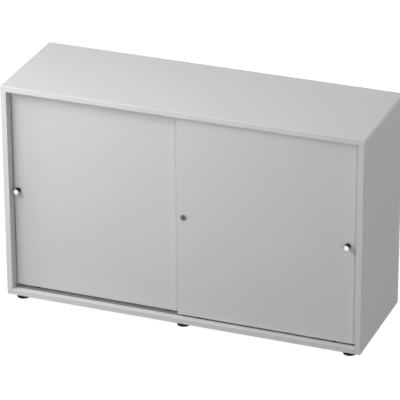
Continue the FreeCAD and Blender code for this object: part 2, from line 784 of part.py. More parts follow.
def lock_striker():
    """The catch on the left door: a thin plate with a rib that the tongue drops beside."""
    right_x = striker_right_x()
    top_z = striker_top_z()
    low_z = top_z - STRIKER_PLATE_HEIGHT
    plate = box(
        [right_x - STRIKER_PLATE_WIDTH, REAR_DOOR_Y - STRIKER_PLATE_THICKNESS, low_z],
        [right_x, REAR_DOOR_Y, top_z],
    )
    rib = box(
        [right_x - STRIKER_RIB_WIDTH, LOCK_BACK_Y + STRIKER_RIB_RELIEF, low_z],
        [right_x, REAR_DOOR_Y, top_z],
    )
    return union([plate, rib]).cut(striker_screws())


def door(name, low_x, high_x, door_y, knob_x):
    """One sliding door with its edging, rollers, guides and knob."""
    nodes = {}
    runner_places = (low_x + RUNNER_INSET, high_x - RUNNER_INSET)
    guide_places = (low_x + GUIDE_INSET, high_x - GUIDE_INSET)
    all_round = [(X_AXIS, LOW), (X_AXIS, HIGH), (Z_AXIS, LOW), (Z_AXIS, HIGH)]
    panel, band = banded_board(
        [low_x, door_y, DOOR_LOW_Z],
        [high_x, door_y + DOOR_THICKNESS, DOOR_HIGH_Z],
        Y_AXIS,
        all_round,
    )
    pockets = [runner_envelope(x, door_y, 0.0) for x in runner_places]
    pockets += [guide_block(x, door_y) for x in guide_places]
    screws = []
    for x in runner_places:
        screws += runner_screws(x, door_y)
    fixing = knob_screw(knob_x, door_y)
    nodes["door_panel"] = panel.cut(pockets + screws + [fixing])
    nodes["door_edging"] = band.cut(pockets)
    nodes["knob"] = knob(knob_x, door_y)
    nodes["knob_screw"] = fixing
    nodes["top_guides"] = Part.makeCompound([top_guide(x, door_y) for x in guide_places])
    housings = [runner_housing(x, door_y) for x in runner_places]
    nodes["runner_housings"] = Part.makeCompound(housings)
    nodes["runner_axles"] = Part.makeCompound([runner_axle(x, door_y) for x in runner_places])
    nodes["runner_screws"] = Part.makeCompound(screws)
    track_y = door_y + DOOR_THICKNESS / 2
    for end, x in zip(("left", "right"), runner_places):
        nodes["wheel_" + end] = wheel(x, track_y)
    return {name + "_" + part: shape for part, shape in nodes.items()}


def doors():
    """The left door in the rear track, the right door in the front track, and the lock."""
    meeting_x = DOOR_OVERLAP / 2
    left_knob_x = -DOOR_OUTER_X + LEFT_KNOB_INSET
    right_knob_x = DOOR_OUTER_X - RIGHT_KNOB_INSET
    nodes = door("left", -DOOR_OUTER_X, meeting_x, REAR_DOOR_Y, left_knob_x)
    nodes.update(door("right", -meeting_x, DOOR_OUTER_X, FRONT_DOOR_Y, right_knob_x))
    nodes["left_door_panel"] = nodes["left_door_panel"].cut(striker_screws())
    nodes["right_door_panel"] = nodes["right_door_panel"].cut(lock_barrel_hole())
    nodes["lock_housing"] = lock_housing()
    nodes["lock_plug"] = lock_plug()
    nodes["lock_tongue"] = lock_tongue()
    nodes["lock_tongue_screw"] = tongue_screw()
    nodes["lock_striker"] = lock_striker()
    nodes["lock_striker_screws"] = Part.makeCompound(striker_screws())
    return nodes


def foot_pad(place):
    """A moulded pad: bevelled rim, cone up to a hexagon for a spanner, blind hole for the stem."""
    hub_radius = FOOT_HUB_ACROSS_FLATS / 2
    flat_base = FOOT_PAD_HEIGHT - FOOT_HUB_FLAT_HEIGHT
    corner_radius = hub_radius / math.cos(math.pi / 6)
    profile = [
        (0, 0),
        (FOOT_RADIUS, 0),
        (FOOT_RADIUS, FOOT_RIM_HEIGHT - FOOT_RIM_CHAMFER),
        (FOOT_RADIUS - FOOT_RIM_CHAMFER, FOOT_RIM_HEIGHT),
        (corner_radius, flat_base),
        (0, flat_base),
    ]
    pad = turned(profile, V(0, 0, 0), V(0, 0, 1))
    corners = []
    for i in range(7):
        angle = i * math.pi / 3
        corners.append(V(corner_radius * math.cos(angle), corner_radius * math.sin(angle), flat_base))
    hexagon = Part.Face(Part.makePolygon(corners)).extrude(V(0, 0, FOOT_HUB_FLAT_HEIGHT))
    stem_hole = cylinder(STEM_RADIUS, V(0, 0, STEM_FLOOR), V(0, 0, FOOT_PAD_HEIGHT))
    solid = union([pad, hexagon]).cut(stem_hole)
    solid.translate(place)
    return solid


def foot_stem(place):
    """The threaded stem, moulded into the pad and screwed into the socket."""
    top = BASE_Z + STEM_ENTRY
    profile = [
        (0, STEM_FLOOR),
        (STEM_RADIUS, STEM_FLOOR),
        (STEM_RADIUS, top - STEM_TIP_CHAMFER),
        (STEM_RADIUS - STEM_TIP_CHAMFER, top),
        (0, top),
    ]
    return turned(profile, place, V(0, 0, 1))


def foot_socket_hole(place):
    """The hole in the bottom panel for a socket's sleeve."""
    start = place + V(0, 0, BASE_Z)
    return cylinder(SOCKET_SLEEVE_RADIUS, start, start + V(0, 0, SOCKET_SLEEVE_LENGTH))


def foot_socket(place):
    """The socket that takes a foot's stem: a sleeve in the board and a flange under it."""
    low = BASE_Z - SOCKET_FLANGE_THICKNESS
    high = BASE_Z + SOCKET_SLEEVE_LENGTH
    bore = STEM_RADIUS + SOCKET_CLEARANCE
    profile = [
        (bore, low),
        (SOCKET_FLANGE_RADIUS - SOCKET_FLANGE_CHAMFER, low),
        (SOCKET_FLANGE_RADIUS, low + SOCKET_FLANGE_CHAMFER),
        (SOCKET_FLANGE_RADIUS, BASE_Z),
        (SOCKET_SLEEVE_RADIUS, BASE_Z),
        (SOCKET_SLEEVE_RADIUS, high),
        (bore, high),
    ]
    return turned(profile, place, V(0, 0, 1))


def feet():
    """Six levelling feet and their sockets."""
    nodes = {}
    places = foot_places()
    for name, place in places.items():
        nodes[name + "_foot_pad"] = foot_pad(place)
        nodes[name + "_foot_stem"] = foot_stem(place)
    nodes["foot_sockets"] = Part.makeCompound([foot_socket(p) for p in places.values()])
    return nodes


def export(nodes):
    """Write each node to its own file."""
    os.makedirs("parts", exist_ok=True)
    for name, shape in nodes.items():
        if not shape.isValid():
            raise ValueError(name + " is not a valid shape")
        shape.exportStep("parts/" + name + ".step")
        solids = len(shape.Solids)
        print(f"{name}: {solids} solid(s), {shape.Volume / 1000:.2f} cm3")
    print(len(nodes), "nodes")


cabinet = {}
for build in (carcass, shelves, rails, door_buffers, doors, feet):
    cabinet.update(build())
export(cabinet)
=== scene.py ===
"""Looks of a low office cabinet with two sliding doors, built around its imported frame.

Lengths are metres unless a name ends in _mm. +Z is up, the doors face -Y, and +X is to the
right as seen from the front.
"""

import json
import logging
import math
from collections.abc import Sequence
from dataclasses import dataclass, field
from enum import Enum
from functools import partial
from typing import Union

import bmesh
import bpy
from bpy.types import Material, Mesh, Node, NodeSocket, NodeTree
from mathutils import Matrix, Vector


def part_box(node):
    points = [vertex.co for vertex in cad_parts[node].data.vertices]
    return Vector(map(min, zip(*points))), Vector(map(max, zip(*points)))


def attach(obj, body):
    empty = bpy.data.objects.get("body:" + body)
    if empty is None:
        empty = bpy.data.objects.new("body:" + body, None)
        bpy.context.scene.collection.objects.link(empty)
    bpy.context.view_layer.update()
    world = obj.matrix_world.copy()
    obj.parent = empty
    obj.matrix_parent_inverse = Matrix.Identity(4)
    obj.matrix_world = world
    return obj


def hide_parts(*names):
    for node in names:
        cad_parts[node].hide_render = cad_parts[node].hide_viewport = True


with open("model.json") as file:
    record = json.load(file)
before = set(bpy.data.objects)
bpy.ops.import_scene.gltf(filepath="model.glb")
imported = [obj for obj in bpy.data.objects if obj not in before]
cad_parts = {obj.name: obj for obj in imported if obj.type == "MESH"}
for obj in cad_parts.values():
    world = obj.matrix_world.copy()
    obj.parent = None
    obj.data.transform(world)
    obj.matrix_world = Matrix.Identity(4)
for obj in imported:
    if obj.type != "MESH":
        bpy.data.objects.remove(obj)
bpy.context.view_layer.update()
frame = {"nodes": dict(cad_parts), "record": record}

LOG = logging.getLogger("cabinet")

MM = 0.001
WELD = 1e-6
SHARP_ANGLE = math.radians(32)
FLAT_ANGLE = math.radians(0.5)
BEVEL_ANGLE = math.radians(40)
BEVEL_STEPS = 2
CORNER_STEPS = 5
SOCKET_EDGE_MM = 0.3
THREAD_STEPS = 20
THREAD_SIDES = 4

# A wave texture runs through this many radians per unit of its scale.
WAVE_RATE = 20.0

# How solids are united and cut.
UNION = {"operation": "UNION", "solver": "EXACT"}
CUT = {"operation": "DIFFERENCE", "solver": "EXACT"}

# What can feed a socket: another socket, or a node, which stands for its first output.
Source = Union[Node, NodeSocket]

# The decor of every board, and the plastic edging that is matched to it.
DECOR_HEX = "C9C9C9"
EDGING_HEX = "CCCCCC"


class Axis(Enum):
    """The three directions of the frame."""

    X = 0
    Y = 1
    Z = 2

    @property
    def vector(self) -> Vector:
        """Unit vector along this direction."""
        return Vector([float(i == self.value) for i in range(3)])


@dataclass(frozen=True)
class Box:
    """A block of space between its lowest and its highest corner."""

    low: Vector
    high: Vector

    @classmethod
    def of(cls, node: str) -> "Box":
        """The space that a node of the frame takes at rest."""
        return cls(*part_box(node))

    @property
    def centre(self) -> Vector:
        """Middle of the block."""
        return (self.low + self.high) / 2

    @property
    def size(self) -> Vector:
        """Extent along each direction."""
        return self.high - self.low

    @property
    def thin_axis(self) -> Axis:
        """Direction in which the block is thinnest."""
        return min(Axis, key=lambda axis: self.size[axis.value])

    def end(self, axis: Axis, high: bool = False) -> Vector:
        """Middle of the block's low end along an axis, or of its high end."""
        middle = self.centre
        middle[axis.value] = (self.high if high else self.low)[axis.value]
        return middle

    def turned_mm(self, axis: Axis) -> tuple[float, float]:
        """Radius and length in mm of the round solid along Y or Z that fills the block."""
        return self.size.x / 2 / MM, self.size[axis.value] / MM


@dataclass(frozen=True)
class RoundBar:
    """A straight round solid, read from its wide end to its narrow end."""

    seat: Vector
    direction: Vector
    length: float
    wide_radius: float
    narrow_radius: float

    @classmethod
    def read(cls, points: Sequence[Vector], axis: Axis) -> "RoundBar":
        """Reads where a round solid lies from its points.

        Args:
            points: Every point of the solid.
            axis: The direction that it lies along.

        Returns:
            The bar, with its seat in the middle of its wide end.
        """
        along = axis.value
        across = [other.value for other in Axis if other is not axis]
        levels = (min(p[along] for p in points), max(p[along] for p in points))
        ends = [[p for p in points if abs(p[along] - level) < WELD] for level in levels]

        def reach(end: Sequence[Vector]) -> float:
            """Half of the widest extent of one end."""
            return max(max(p[i] for p in end) - min(p[i] for p in end) for i in across) / 2

        radii = [reach(end) for end in ends]
        wide = 0 if radii[0] >= radii[1] else 1
        seat = Vector((0.0, 0.0, 0.0))
        for i in across:
            narrow_end = [p[i] for p in ends[1 - wide]]
            seat[i] = (min(narrow_end) + max(narrow_end)) / 2
        seat[along] = levels[wide]
        length = levels[1] - levels[0]
        direction = axis.vector * (1.0 if wide == 0 else -1.0)
        return cls(seat, direction, length, radii[wide], radii[1 - wide])


def solids_of(node: str) -> list[list[Vector]]:
    """Points of each separate solid of a node.

    Args:
        node: Name of a node of the frame.

    Returns:
        One list of points for each solid, sorted by its lowest corner.
    """
    welded = bmesh.new()
    welded.from_mesh(frame["nodes"][node].data)
    bmesh.ops.remove_doubles(welded, verts=welded.verts, dist=WELD)
    solids, waiting = [], set(welded.verts)
    while waiting:
        reached, solid = [waiting.pop()], []
        while reached:
            vertex = reached.pop()
            solid.append(vertex.co.copy())
            for edge in vertex.link_edges:
                other = edge.other_vert(vertex)
                if other in waiting:
                    waiting.remove(other)
                    reached.append(other)
        solids.append(solid)
    welded.free()
    return sorted(solids, key=lambda s: [round(min(p[i] for p in s), 4) for i in range(3)])


def bars_of(node: str, axis: Axis | None = None) -> list[RoundBar]:
    """The round solids of a node.

    Args:
        node: Name of a node of the frame.
        axis: Direction of all of them, or None where each lies along its longest side.

    Returns:
        One bar for each solid.
    """
    bars = []
    for points in solids_of(node):
        spans = [max(p[i] for p in points) - min(p[i] for p in points) for i in range(3)]
        longest = max(Axis, key=lambda each: spans[each.value])
        bars.append(RoundBar.read(points, axis or longest))
    return bars


def body_holding(node: str) -> str:
    """Name of the moving body that a node belongs to."""
    bodies = frame["record"]["behaviour"]["bodies"]
    return next(body for body, nodes in bodies.items() if node in nodes)


# --- materials ---


def linear(colour_hex: str) -> tuple[float, float, float, float]:
    """Linear colour with full alpha from an sRGB hex value such as "C9C9C8"."""
    parts = [int(colour_hex[i : i + 2], 16) / 255 for i in (0, 2, 4)]
    red, green, blue = [
        part / 12.92 if part <= 0.04045 else ((part + 0.055) / 1.055) ** 2.4 for part in parts
    ]
    return red, green, blue, 1.0


def add_node(tree: NodeTree, kind: str, inputs: dict | None = None, **settings: object) -> Node:
    """Adds a node to a tree with its settings and links.

    Args:
        tree: The tree that gets the node.
        kind: Blender's class name of the node.
        inputs: Input name or number to its value, or to the source or list of sources that
            feed it.
        settings: Attributes of the node.

    Returns:
        The new node.
    """
    node = tree.nodes.new(kind)
    for name, value in settings.items():
        setattr(node, name, value)
    for key, value in (inputs or {}).items():
        feeds = value if isinstance(value, list) else [value]
        if isinstance(feeds[0], (Node, NodeSocket)):
            for feed in feeds:
                socket = feed.outputs[0] if isinstance(feed, Node) else feed
                tree.links.new(socket, node.inputs[key])
        else:
            node.inputs[key].default_value = value
    return node


def per_metre(pitch_mm: float) -> float:
    """Texture scale that gives features of this size on Object coordinates."""
    return 1.0 / (pitch_mm * MM)


@dataclass(frozen=True)
class Finish:
    """A surface finish, whose material is made once."""

    name: str

    def material(self) -> Material:
        """The finish's material."""
        if self not in MADE:
            made = bpy.data.materials.new(self.name)
            made.use_nodes = True
            made.node_tree.nodes.clear()
            self.paint(made.node_tree)
            MADE[self] = made
        return MADE[self]

    def paint(self, tree: NodeTree) -> None:
        """Adds the finish's nodes to an empty material tree."""
        raise NotImplementedError

    def close(self, tree: NodeTree, inputs: dict) -> None:
        """Ends a material's tree in a Principled shader with these inputs, and the output."""
        shader = add_node(tree, "ShaderNodeBsdfPrincipled", inputs)
        add_node(tree, "ShaderNodeOutputMaterial", {"Surface": shader})


# The material of each finish so far.
MADE: dict[Finish, Material] = {}


@dataclass(frozen=True)
class MelamineBoard(Finish):
    """Melamine-faced chipboard, printed paper pressed with resin onto glued flakes.

    The skin is hard and even, with a silky gloss and a fine pearl texture. The core of coarse
    tan flakes shows only in what is drilled or grooved, between the two faces.
    """

    thin: Axis
    middle: float
    thickness: float
    face_hex: str = DECOR_HEX
    face_tone_hex: str = "C6C6C6"
    flake_hexes: tuple[str, str] = ("B08B5E", "7D5F3E")
    pearl_pitch_mm: float = 0.9
    tone_pitch_mm: float = 260.0
    flake_pitch_mm: float = 2.2
    skin_mm: float = 0.2
    roughness: tuple[float, float] = (0.40, 0.48)
    core_roughness: float = 0.85
    relief_mm: float = 0.02
    relief_strength: float = 0.25
    ior: float = 1.5

    def paint(self, tree: NodeTree) -> None:
        """Adds the skin, the flakes and the rule that tells them apart."""
        add = partial(add_node, tree)
        place = add("ShaderNodeTexCoord").outputs["Object"]
        pearl = add(
            "ShaderNodeTexNoise", {"Vector": place, "Scale": per_metre(self.pearl_pitch_mm), "Detail": 2.0}
        )
        tone = add(
            "ShaderNodeTexNoise", {"Vector": place, "Scale": per_metre(self.tone_pitch_mm), "Detail": 1.0}
        )
        skin = add(
            "ShaderNodeMix", {0: tone, 6: linear(self.face_hex), 7: linear(self.face_tone_hex)},
            data_type="RGBA",
        )
        flakes = add("ShaderNodeTexVoronoi", {"Vector": place, "Scale": per_metre(self.flake_pitch_mm)})
        light, dark = (linear(each) for each in self.flake_hexes)
        core = add("ShaderNodeMix", {0: flakes.outputs["Color"], 6: light, 7: dark}, data_type="RGBA")
        axes = add("ShaderNodeSeparateXYZ", {0: place})
        depth = add(
            "ShaderNodeMath", {0: axes.outputs[self.thin.value], 1: self.middle}, operation="SUBTRACT"
        )
        distance = add("ShaderNodeMath", {0: depth}, operation="ABSOLUTE")
        cut = add(
            "ShaderNodeMath", {0: distance, 1: self.thickness / 2 - self.skin_mm * MM},
            operation="LESS_THAN",
        )
        colour = add("ShaderNodeMix", {0: cut, 6: skin.outputs[2], 7: core.outputs[2]}, data_type="RGBA")
        low, high = self.roughness
        gloss = add("ShaderNodeMapRange", {"Value": pearl, "To Min": low, "To Max": high})
        roughness = add("ShaderNodeMix", {0: cut, 2: gloss, 3: self.core_roughness}, data_type="FLOAT")
        height = add("ShaderNodeMix", {0: cut, 2: pearl, 3: flakes.outputs["Distance"]}, data_type="FLOAT")
        bump = add(
            "ShaderNodeBump",
            {"Height": height, "Strength": self.relief_strength, "Distance": self.relief_mm * MM},
        )
        self.close(
            tree, {"Base Color": colour.outputs[2], "Roughness": roughness, "Normal": bump, "IOR": self.ior}
        )


class Texture(Enum):
    """The noise patterns that a moulded or plated surface may have."""

    GRAIN = "grain"
    DRAWN = "drawn"
    TURNED = "turned"


@dataclass(frozen=True)
class Plain(Finish):
    """A surface of one material: a colour that varies a little, a gloss and a fine relief.

    grain is an even pebbled relief, drawn is lines along an axis, and turned is rings round
    a point, in planes across an axis.
    """

    colour_hex: str
    tone_hex: str
    roughness: tuple[float, float]
    pitch_mm: float
    relief_mm: float = 0.01
    texture: Texture = Texture.GRAIN
    axis: Axis = Axis.X
    centre: tuple[float, float, float] = (0.0, 0.0, 0.0)
    tone_pitch_mm: float = 12.0
    metallic: float = 0.0
    ior: float = 1.5
    relief_strength: float = 0.3
    drawn_stretch: float = 0.01
    ring_wobble: float = 1.5

    def colour(self, tree: NodeTree, place: NodeSocket) -> NodeSocket:
        """Adds the colour with its slow change of tone over the place, and gives it."""
        tone = add_node(
            tree, "ShaderNodeTexNoise",
            {"Vector": place, "Scale": per_metre(self.tone_pitch_mm), "Detail": 1.0},
        )
        mixed = add_node(
            tree, "ShaderNodeMix", {0: tone, 6: linear(self.colour_hex), 7: linear(self.tone_hex)},
            data_type="RGBA",
        )
        return mixed.outputs[2]

    def pattern(self, tree: NodeTree, place: NodeSocket) -> Source:
        """Adds the fine pattern.

        Args:
            tree: The material's tree.
            place: Object coordinates.

        Returns:
            The pattern's height from 0 to 1.
        """
        add = partial(add_node, tree)
        scale = per_metre(self.pitch_mm)
        if self.texture is Texture.TURNED:
            centred = add(
                "ShaderNodeMapping", {"Vector": place, "Location": tuple(-c for c in self.centre)}
            )
            inputs = {
                "Vector": centred, "Scale": scale / WAVE_RATE, "Distortion": self.ring_wobble,
                "Detail": 2.0, "Detail Scale": 1.0,
            }
            axis = self.axis.name
            rings = add("ShaderNodeTexWave", inputs, wave_type="RINGS", rings_direction=axis)
            return rings.outputs["Fac"]
        stretch = [1.0, 1.0, 1.0]
        if self.texture is Texture.DRAWN:
            stretch[self.axis.value] = self.drawn_stretch
        stretched = add("ShaderNodeMapping", {"Vector": place, "Scale": stretch})
        return add("ShaderNodeTexNoise", {"Vector": stretched, "Scale": scale, "Detail": 2.0})

    def paint(self, tree: NodeTree) -> None:
        """Adds the tone, the gloss and the relief."""
        add = partial(add_node, tree)
        place = add("ShaderNodeTexCoord").outputs["Object"]
        fine = self.pattern(tree, place)
        low, high = self.roughness
        gloss = add("ShaderNodeMapRange", {"Value": fine, "To Min": low, "To Max": high})
        bump = add(
            "ShaderNodeBump",
            {"Height": fine, "Strength": self.relief_strength, "Distance": self.relief_mm * MM},
        )
        inputs = {
            "Base Color": self.colour(tree, place), "Roughness": gloss, "Normal": bump,
            "Metallic": self.metallic,
        }
        if self.metallic == 0.0:
            inputs["IOR"] = self.ior
        self.close(tree, inputs)


# Extruded ABS edging, ironed on: the board's decor, a little smoother and glossier.
ABS_EDGING = Plain("abs_edging", EDGING_HEX, DECOR_HEX, (0.30, 0.36), pitch_mm=0.7, ior=1.54)

# Extruded PVC rail: slate grey, with the faint lines that the die draws along it.
PVC_RAIL = Plain(
    "extruded_pvc", "858584", "7F7F7E", (0.34, 0.44), pitch_mm=0.6, texture=Texture.DRAWN, ior=1.53
)

# Moulded acetal: milky white, slippery and slightly glossy.
ACETAL = Plain("moulded_acetal", "DCDAD2", "D6D4CB", (0.28, 0.36), pitch_mm=1.2, relief_mm=0.006, ior=1.48)

# Moulded black acetal: as slippery, and dark right through.
BLACK_ACETAL = Plain(
    "black_acetal", "202020", "1B1B1A", (0.32, 0.42), pitch_mm=1.2, relief_mm=0.006, ior=1.48
)

# Moulded black polypropylene with the pebbled grain of an eroded mould, which keeps it matt.
BLACK_PLASTIC = Plain(
    "black_polypropylene", "1A1A1A", "141414", (0.48, 0.62), pitch_mm=0.5, relief_mm=0.03, ior=1.49
)

# Soft thermoplastic rubber, moulded in light grey: dull and without any gloss.
RUBBER = Plain("thermoplastic_rubber", "B9B8B5", "B0AFAC", (0.72, 0.82), pitch_mm=0.4, ior=1.5)

# Bright zinc plating on steel: blue-white, with slightly cloudy crystals.
ZINC = Plain(
    "bright_zinc", "C2C6CA", "B4B6B4", (0.24, 0.38), pitch_mm=0.8, relief_mm=0.004, tone_pitch_mm=3.0,
    metallic=1.0,
)

# Fluted beech dowel: pale pinkish wood, dull where the flutes were rolled in.
BEECH = Plain("rolled_beech", "C89F72", "B3875B", (0.6, 0.75), pitch_mm=0.5, tone_pitch_mm=2.5)


@dataclass(frozen=True)
class ReflectionPaintedMetal(Plain):
    """A polished plated knob with its reflections painted on: painted dark all over as a painted dark
    reflection, but for its face, which is painted bright as a painted reflection of the white room.

    The bright part lies within face_radius of the knob's axis and in front of face_y.
    """

    # Colour of the painted bright reflection on the face, not a separate finish of the metal.
    face_hex: str = "E3E0D2"
    face_radius: float = 0.0
    face_y: float = 0.0

    def colour(self, tree: NodeTree, place: NodeSocket) -> NodeSocket:
        """Adds the painted dark reflection, and the painted bright reflection on the face.

        Args:
            tree: The material's tree.
            place: Object coordinates.

        Returns:
            The socket of the colour.
        """
        add = partial(add_node, tree)
        # Painted dark reflection on the metal body.
        dark = super().colour(tree, place)
        centred = add(
            "ShaderNodeMapping", {"Vector": place, "Location": (-self.centre[0], 0.0, -self.centre[2])}
        )
        parts = add("ShaderNodeSeparateXYZ", {0: centred})
        flat = add("ShaderNodeCombineXYZ", {"X": parts.outputs["X"], "Z": parts.outputs["Z"]})
        reach = add("ShaderNodeVectorMath", {0: flat}, operation="LENGTH")
        inside = add(
            "ShaderNodeMath", {0: reach.outputs["Value"], 1: self.face_radius}, operation="LESS_THAN"
        )
        front = add("ShaderNodeMath", {0: parts.outputs["Y"], 1: self.face_y}, operation="LESS_THAN")
        # Mask of the face, which gets the painted bright reflection.
        faced = add("ShaderNodeMath", {0: inside, 1: front}, operation="MULTIPLY")
        mixed = add("ShaderNodeMix", {0: faced, 6: dark, 7: linear(self.face_hex)}, data_type="RGBA")
        return mixed.outputs[2]


# What the finishes of turned and ring-brushed metal share.
TURNED_METAL = {"texture": Texture.TURNED, "axis": Axis.Y, "metallic": 1.0}


def nickel_with_painted_reflections(name: str, centre: Vector, face_radius: float, face_y: float) -> ReflectionPaintedMetal:
    """Polished nickel on brass turned about the centre, with its reflections painted on: painted dark all
    over and painted bright on its face.
    """
    # Dark body colour and bright face colour are painted reflections on one polished metal.
    return ReflectionPaintedMetal(
        name, "2E2B25", "262420", (0.20, 0.28), pitch_mm=0.4, relief_mm=0.002, centre=tuple(centre),
        face_radius=face_radius, face_y=face_y, **TURNED_METAL,
    )


def brushed_nickel(name: str, colour_hex: str, tone_hex: str, centre: Vector) -> Plain:
    """Die-cast zinc, brushed in rings about the centre and nickel plated: a dull grey metal."""
    return Plain(
        name, colour_hex, tone_hex, (0.36, 0.48), pitch_mm=0.35, relief_mm=0.006, centre=tuple(centre),
        **TURNED_METAL,
    )


# --- meshes ---


def keep(mesh: Mesh, name: str, finish: Finish, node: str) -> None:
    """Turns a mesh into a finished piece that stands for a node of the frame.

    Args:
        mesh: The mesh, in the frame's own place.
        name: Name of the piece.
        finish: Its finish.
        node: The node that it replaces.
    """
    mesh.name = name
    mesh.shade_smooth()
    mesh.set_sharp_from_angle(angle=SHARP_ANGLE)
    mesh.materials.clear()
    mesh.materials.append(finish.material())
    piece = bpy.data.objects.new(name, mesh)
    bpy.context.scene.collection.objects.link(piece)
    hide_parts(node)
    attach(piece, body_holding(node))
    LOG.info("%s: %d faces, for %s", name, len(mesh.polygons), node)


def to_mesh(form: bmesh.types.BMesh) -> Mesh:
    """Closes a form with outward faces and hands it over as a mesh."""
    bmesh.ops.recalc_face_normals(form, faces=form.faces)
    mesh = bpy.data.meshes.new("form")
    form.to_mesh(mesh)
    form.free()
    return mesh


def rounded(corners: Sequence[tuple[float, float, float]]) -> list[tuple[float, float]]:
    """Rounds the corners of a closed outline.

    Args:
        corners: Radius, height and corner radius of each corner, all in mm.

    Returns:
        The outline's points in metres, with an arc of CORNER_STEPS steps at each rounded corner.
    """
    outline = []
    count = len(corners)
    for i, (radius, height, rounding) in enumerate(corners):
        corner = Vector((radius, height))
        if rounding == 0.0:
            outline.append(corner)
            continue
        before = Vector(corners[i - 1][:2]) - corner
        after = Vector(corners[(i + 1) % count][:2]) - corner
        half = before.angle(after) / 2
        reach = min(rounding / math.tan(half), before.length / 2, after.length / 2)
        start, end = before.normalized() * reach, after.normalized() * reach
        bisector = (before.normalized() + after.normalized()).normalized()
        hub = bisector * (reach / math.cos(half))
        for step in range(CORNER_STEPS + 1):
            share = step / CORNER_STEPS
            arm = (start - hub).slerp(end - hub, share) * (start - hub).length
            outline.append(corner + hub + arm)
    return [(point.x * MM, point.y * MM) for point in outline]


def standing(seat: Vector, direction: Vector) -> Matrix:
    """Placement that moves the origin to a seat and turns +Z to a direction."""
    turn = Vector((0, 0, 1)).rotation_difference(direction).to_matrix().to_4x4()
    return Matrix.Translation(seat) @ turn


def hexagon_share(angle: float) -> float:
    """Share of the corner radius at an angle of a hexagon with a corner at angle 0."""
    side = math.pi / 3
    return math.cos(side / 2) / math.cos(angle % side - side / 2)


def turned(
    corners: Sequence[tuple[float, float, float]], seat: Vector, direction: Vector, segments: int,
    hexagons: Sequence[int] = (),
) -> Mesh:
    """Turns a closed outline about an axis.

    Args:
        corners: Radius, height and corner radius of each corner, all in mm.
        seat: Where height 0 lies on the axis.
        direction: Where the heights run to.
        segments: Steps round the axis.
        hexagons: Numbers of the outline's points that go round a hexagon, not a circle.

    Returns:
        The closed mesh.
    """
    place = standing(seat, direction)
    form = bmesh.new()
    rings = []
    for i, (radius, height) in enumerate(rounded(corners)):
        if radius < WELD:
            rings.append([form.verts.new(place @ Vector((0, 0, height)))])
            continue
        ring = []
        for k in range(segments):
            angle = 2 * math.pi * k / segments
            reach = radius * (hexagon_share(angle) if i in hexagons else 1.0)
            point = Vector((reach * math.cos(angle), reach * math.sin(angle), height))
            ring.append(form.verts.new(place @ point))
        rings.append(ring)
    for lower, upper in zip(rings, rings[1:] + rings[:1]):
        if len(lower) == len(upper) == 1:
            continue
        for k in range(segments):
            face = [
                lower[k % len(lower)], lower[(k + 1) % len(lower)], upper[(k + 1) % len(upper)],
                upper[k % len(upper)],
            ]
            form.faces.new(list(dict.fromkeys(face)))
    return to_mesh(form)


def joined(meshes: Sequence[Mesh]) -> Mesh:
    """One mesh that holds several, which are then removed."""
    form = bmesh.new()
    for mesh in meshes:
        form.from_mesh(mesh)
        bpy.data.meshes.remove(mesh)
    mesh = bpy.data.meshes.new("joined")
    form.to_mesh(mesh)
    form.free()
    return mesh


def soften(node: str, width_mm: float, finish: Finish) -> None:
    """Gives a node of the frame its finish and the small round edges that its making leaves.

    Args:
        node: Name of the node, which stays in use.
        width_mm: Width of its rounded edges.
        finish: Its finish.
    """
    piece = frame["nodes"][node]
    weld = piece.modifiers.new("weld", "WELD")
    weld.merge_threshold = WELD
    flat = piece.modifiers.new("flat_faces", "DECIMATE")
    flat.decimate_type = "DISSOLVE"
    flat.angle_limit = FLAT_ANGLE
    bevel = piece.modifiers.new("round_edges", "BEVEL")
    bevel.width = width_mm * MM
    bevel.segments = BEVEL_STEPS
    bevel.limit_method = "ANGLE"
    bevel.angle_limit = BEVEL_ANGLE
    bevel.harden_normals = True
    paint(node, finish)


def paint(node: str, finish: Finish) -> None:
    """Gives a node of the frame its finish."""
    materials = frame["nodes"][node].data.materials
    materials.clear()
    materials.append(finish.material())
    LOG.info("%s: %s", node, finish.name)


# --- patterns made by Geometry Nodes ---


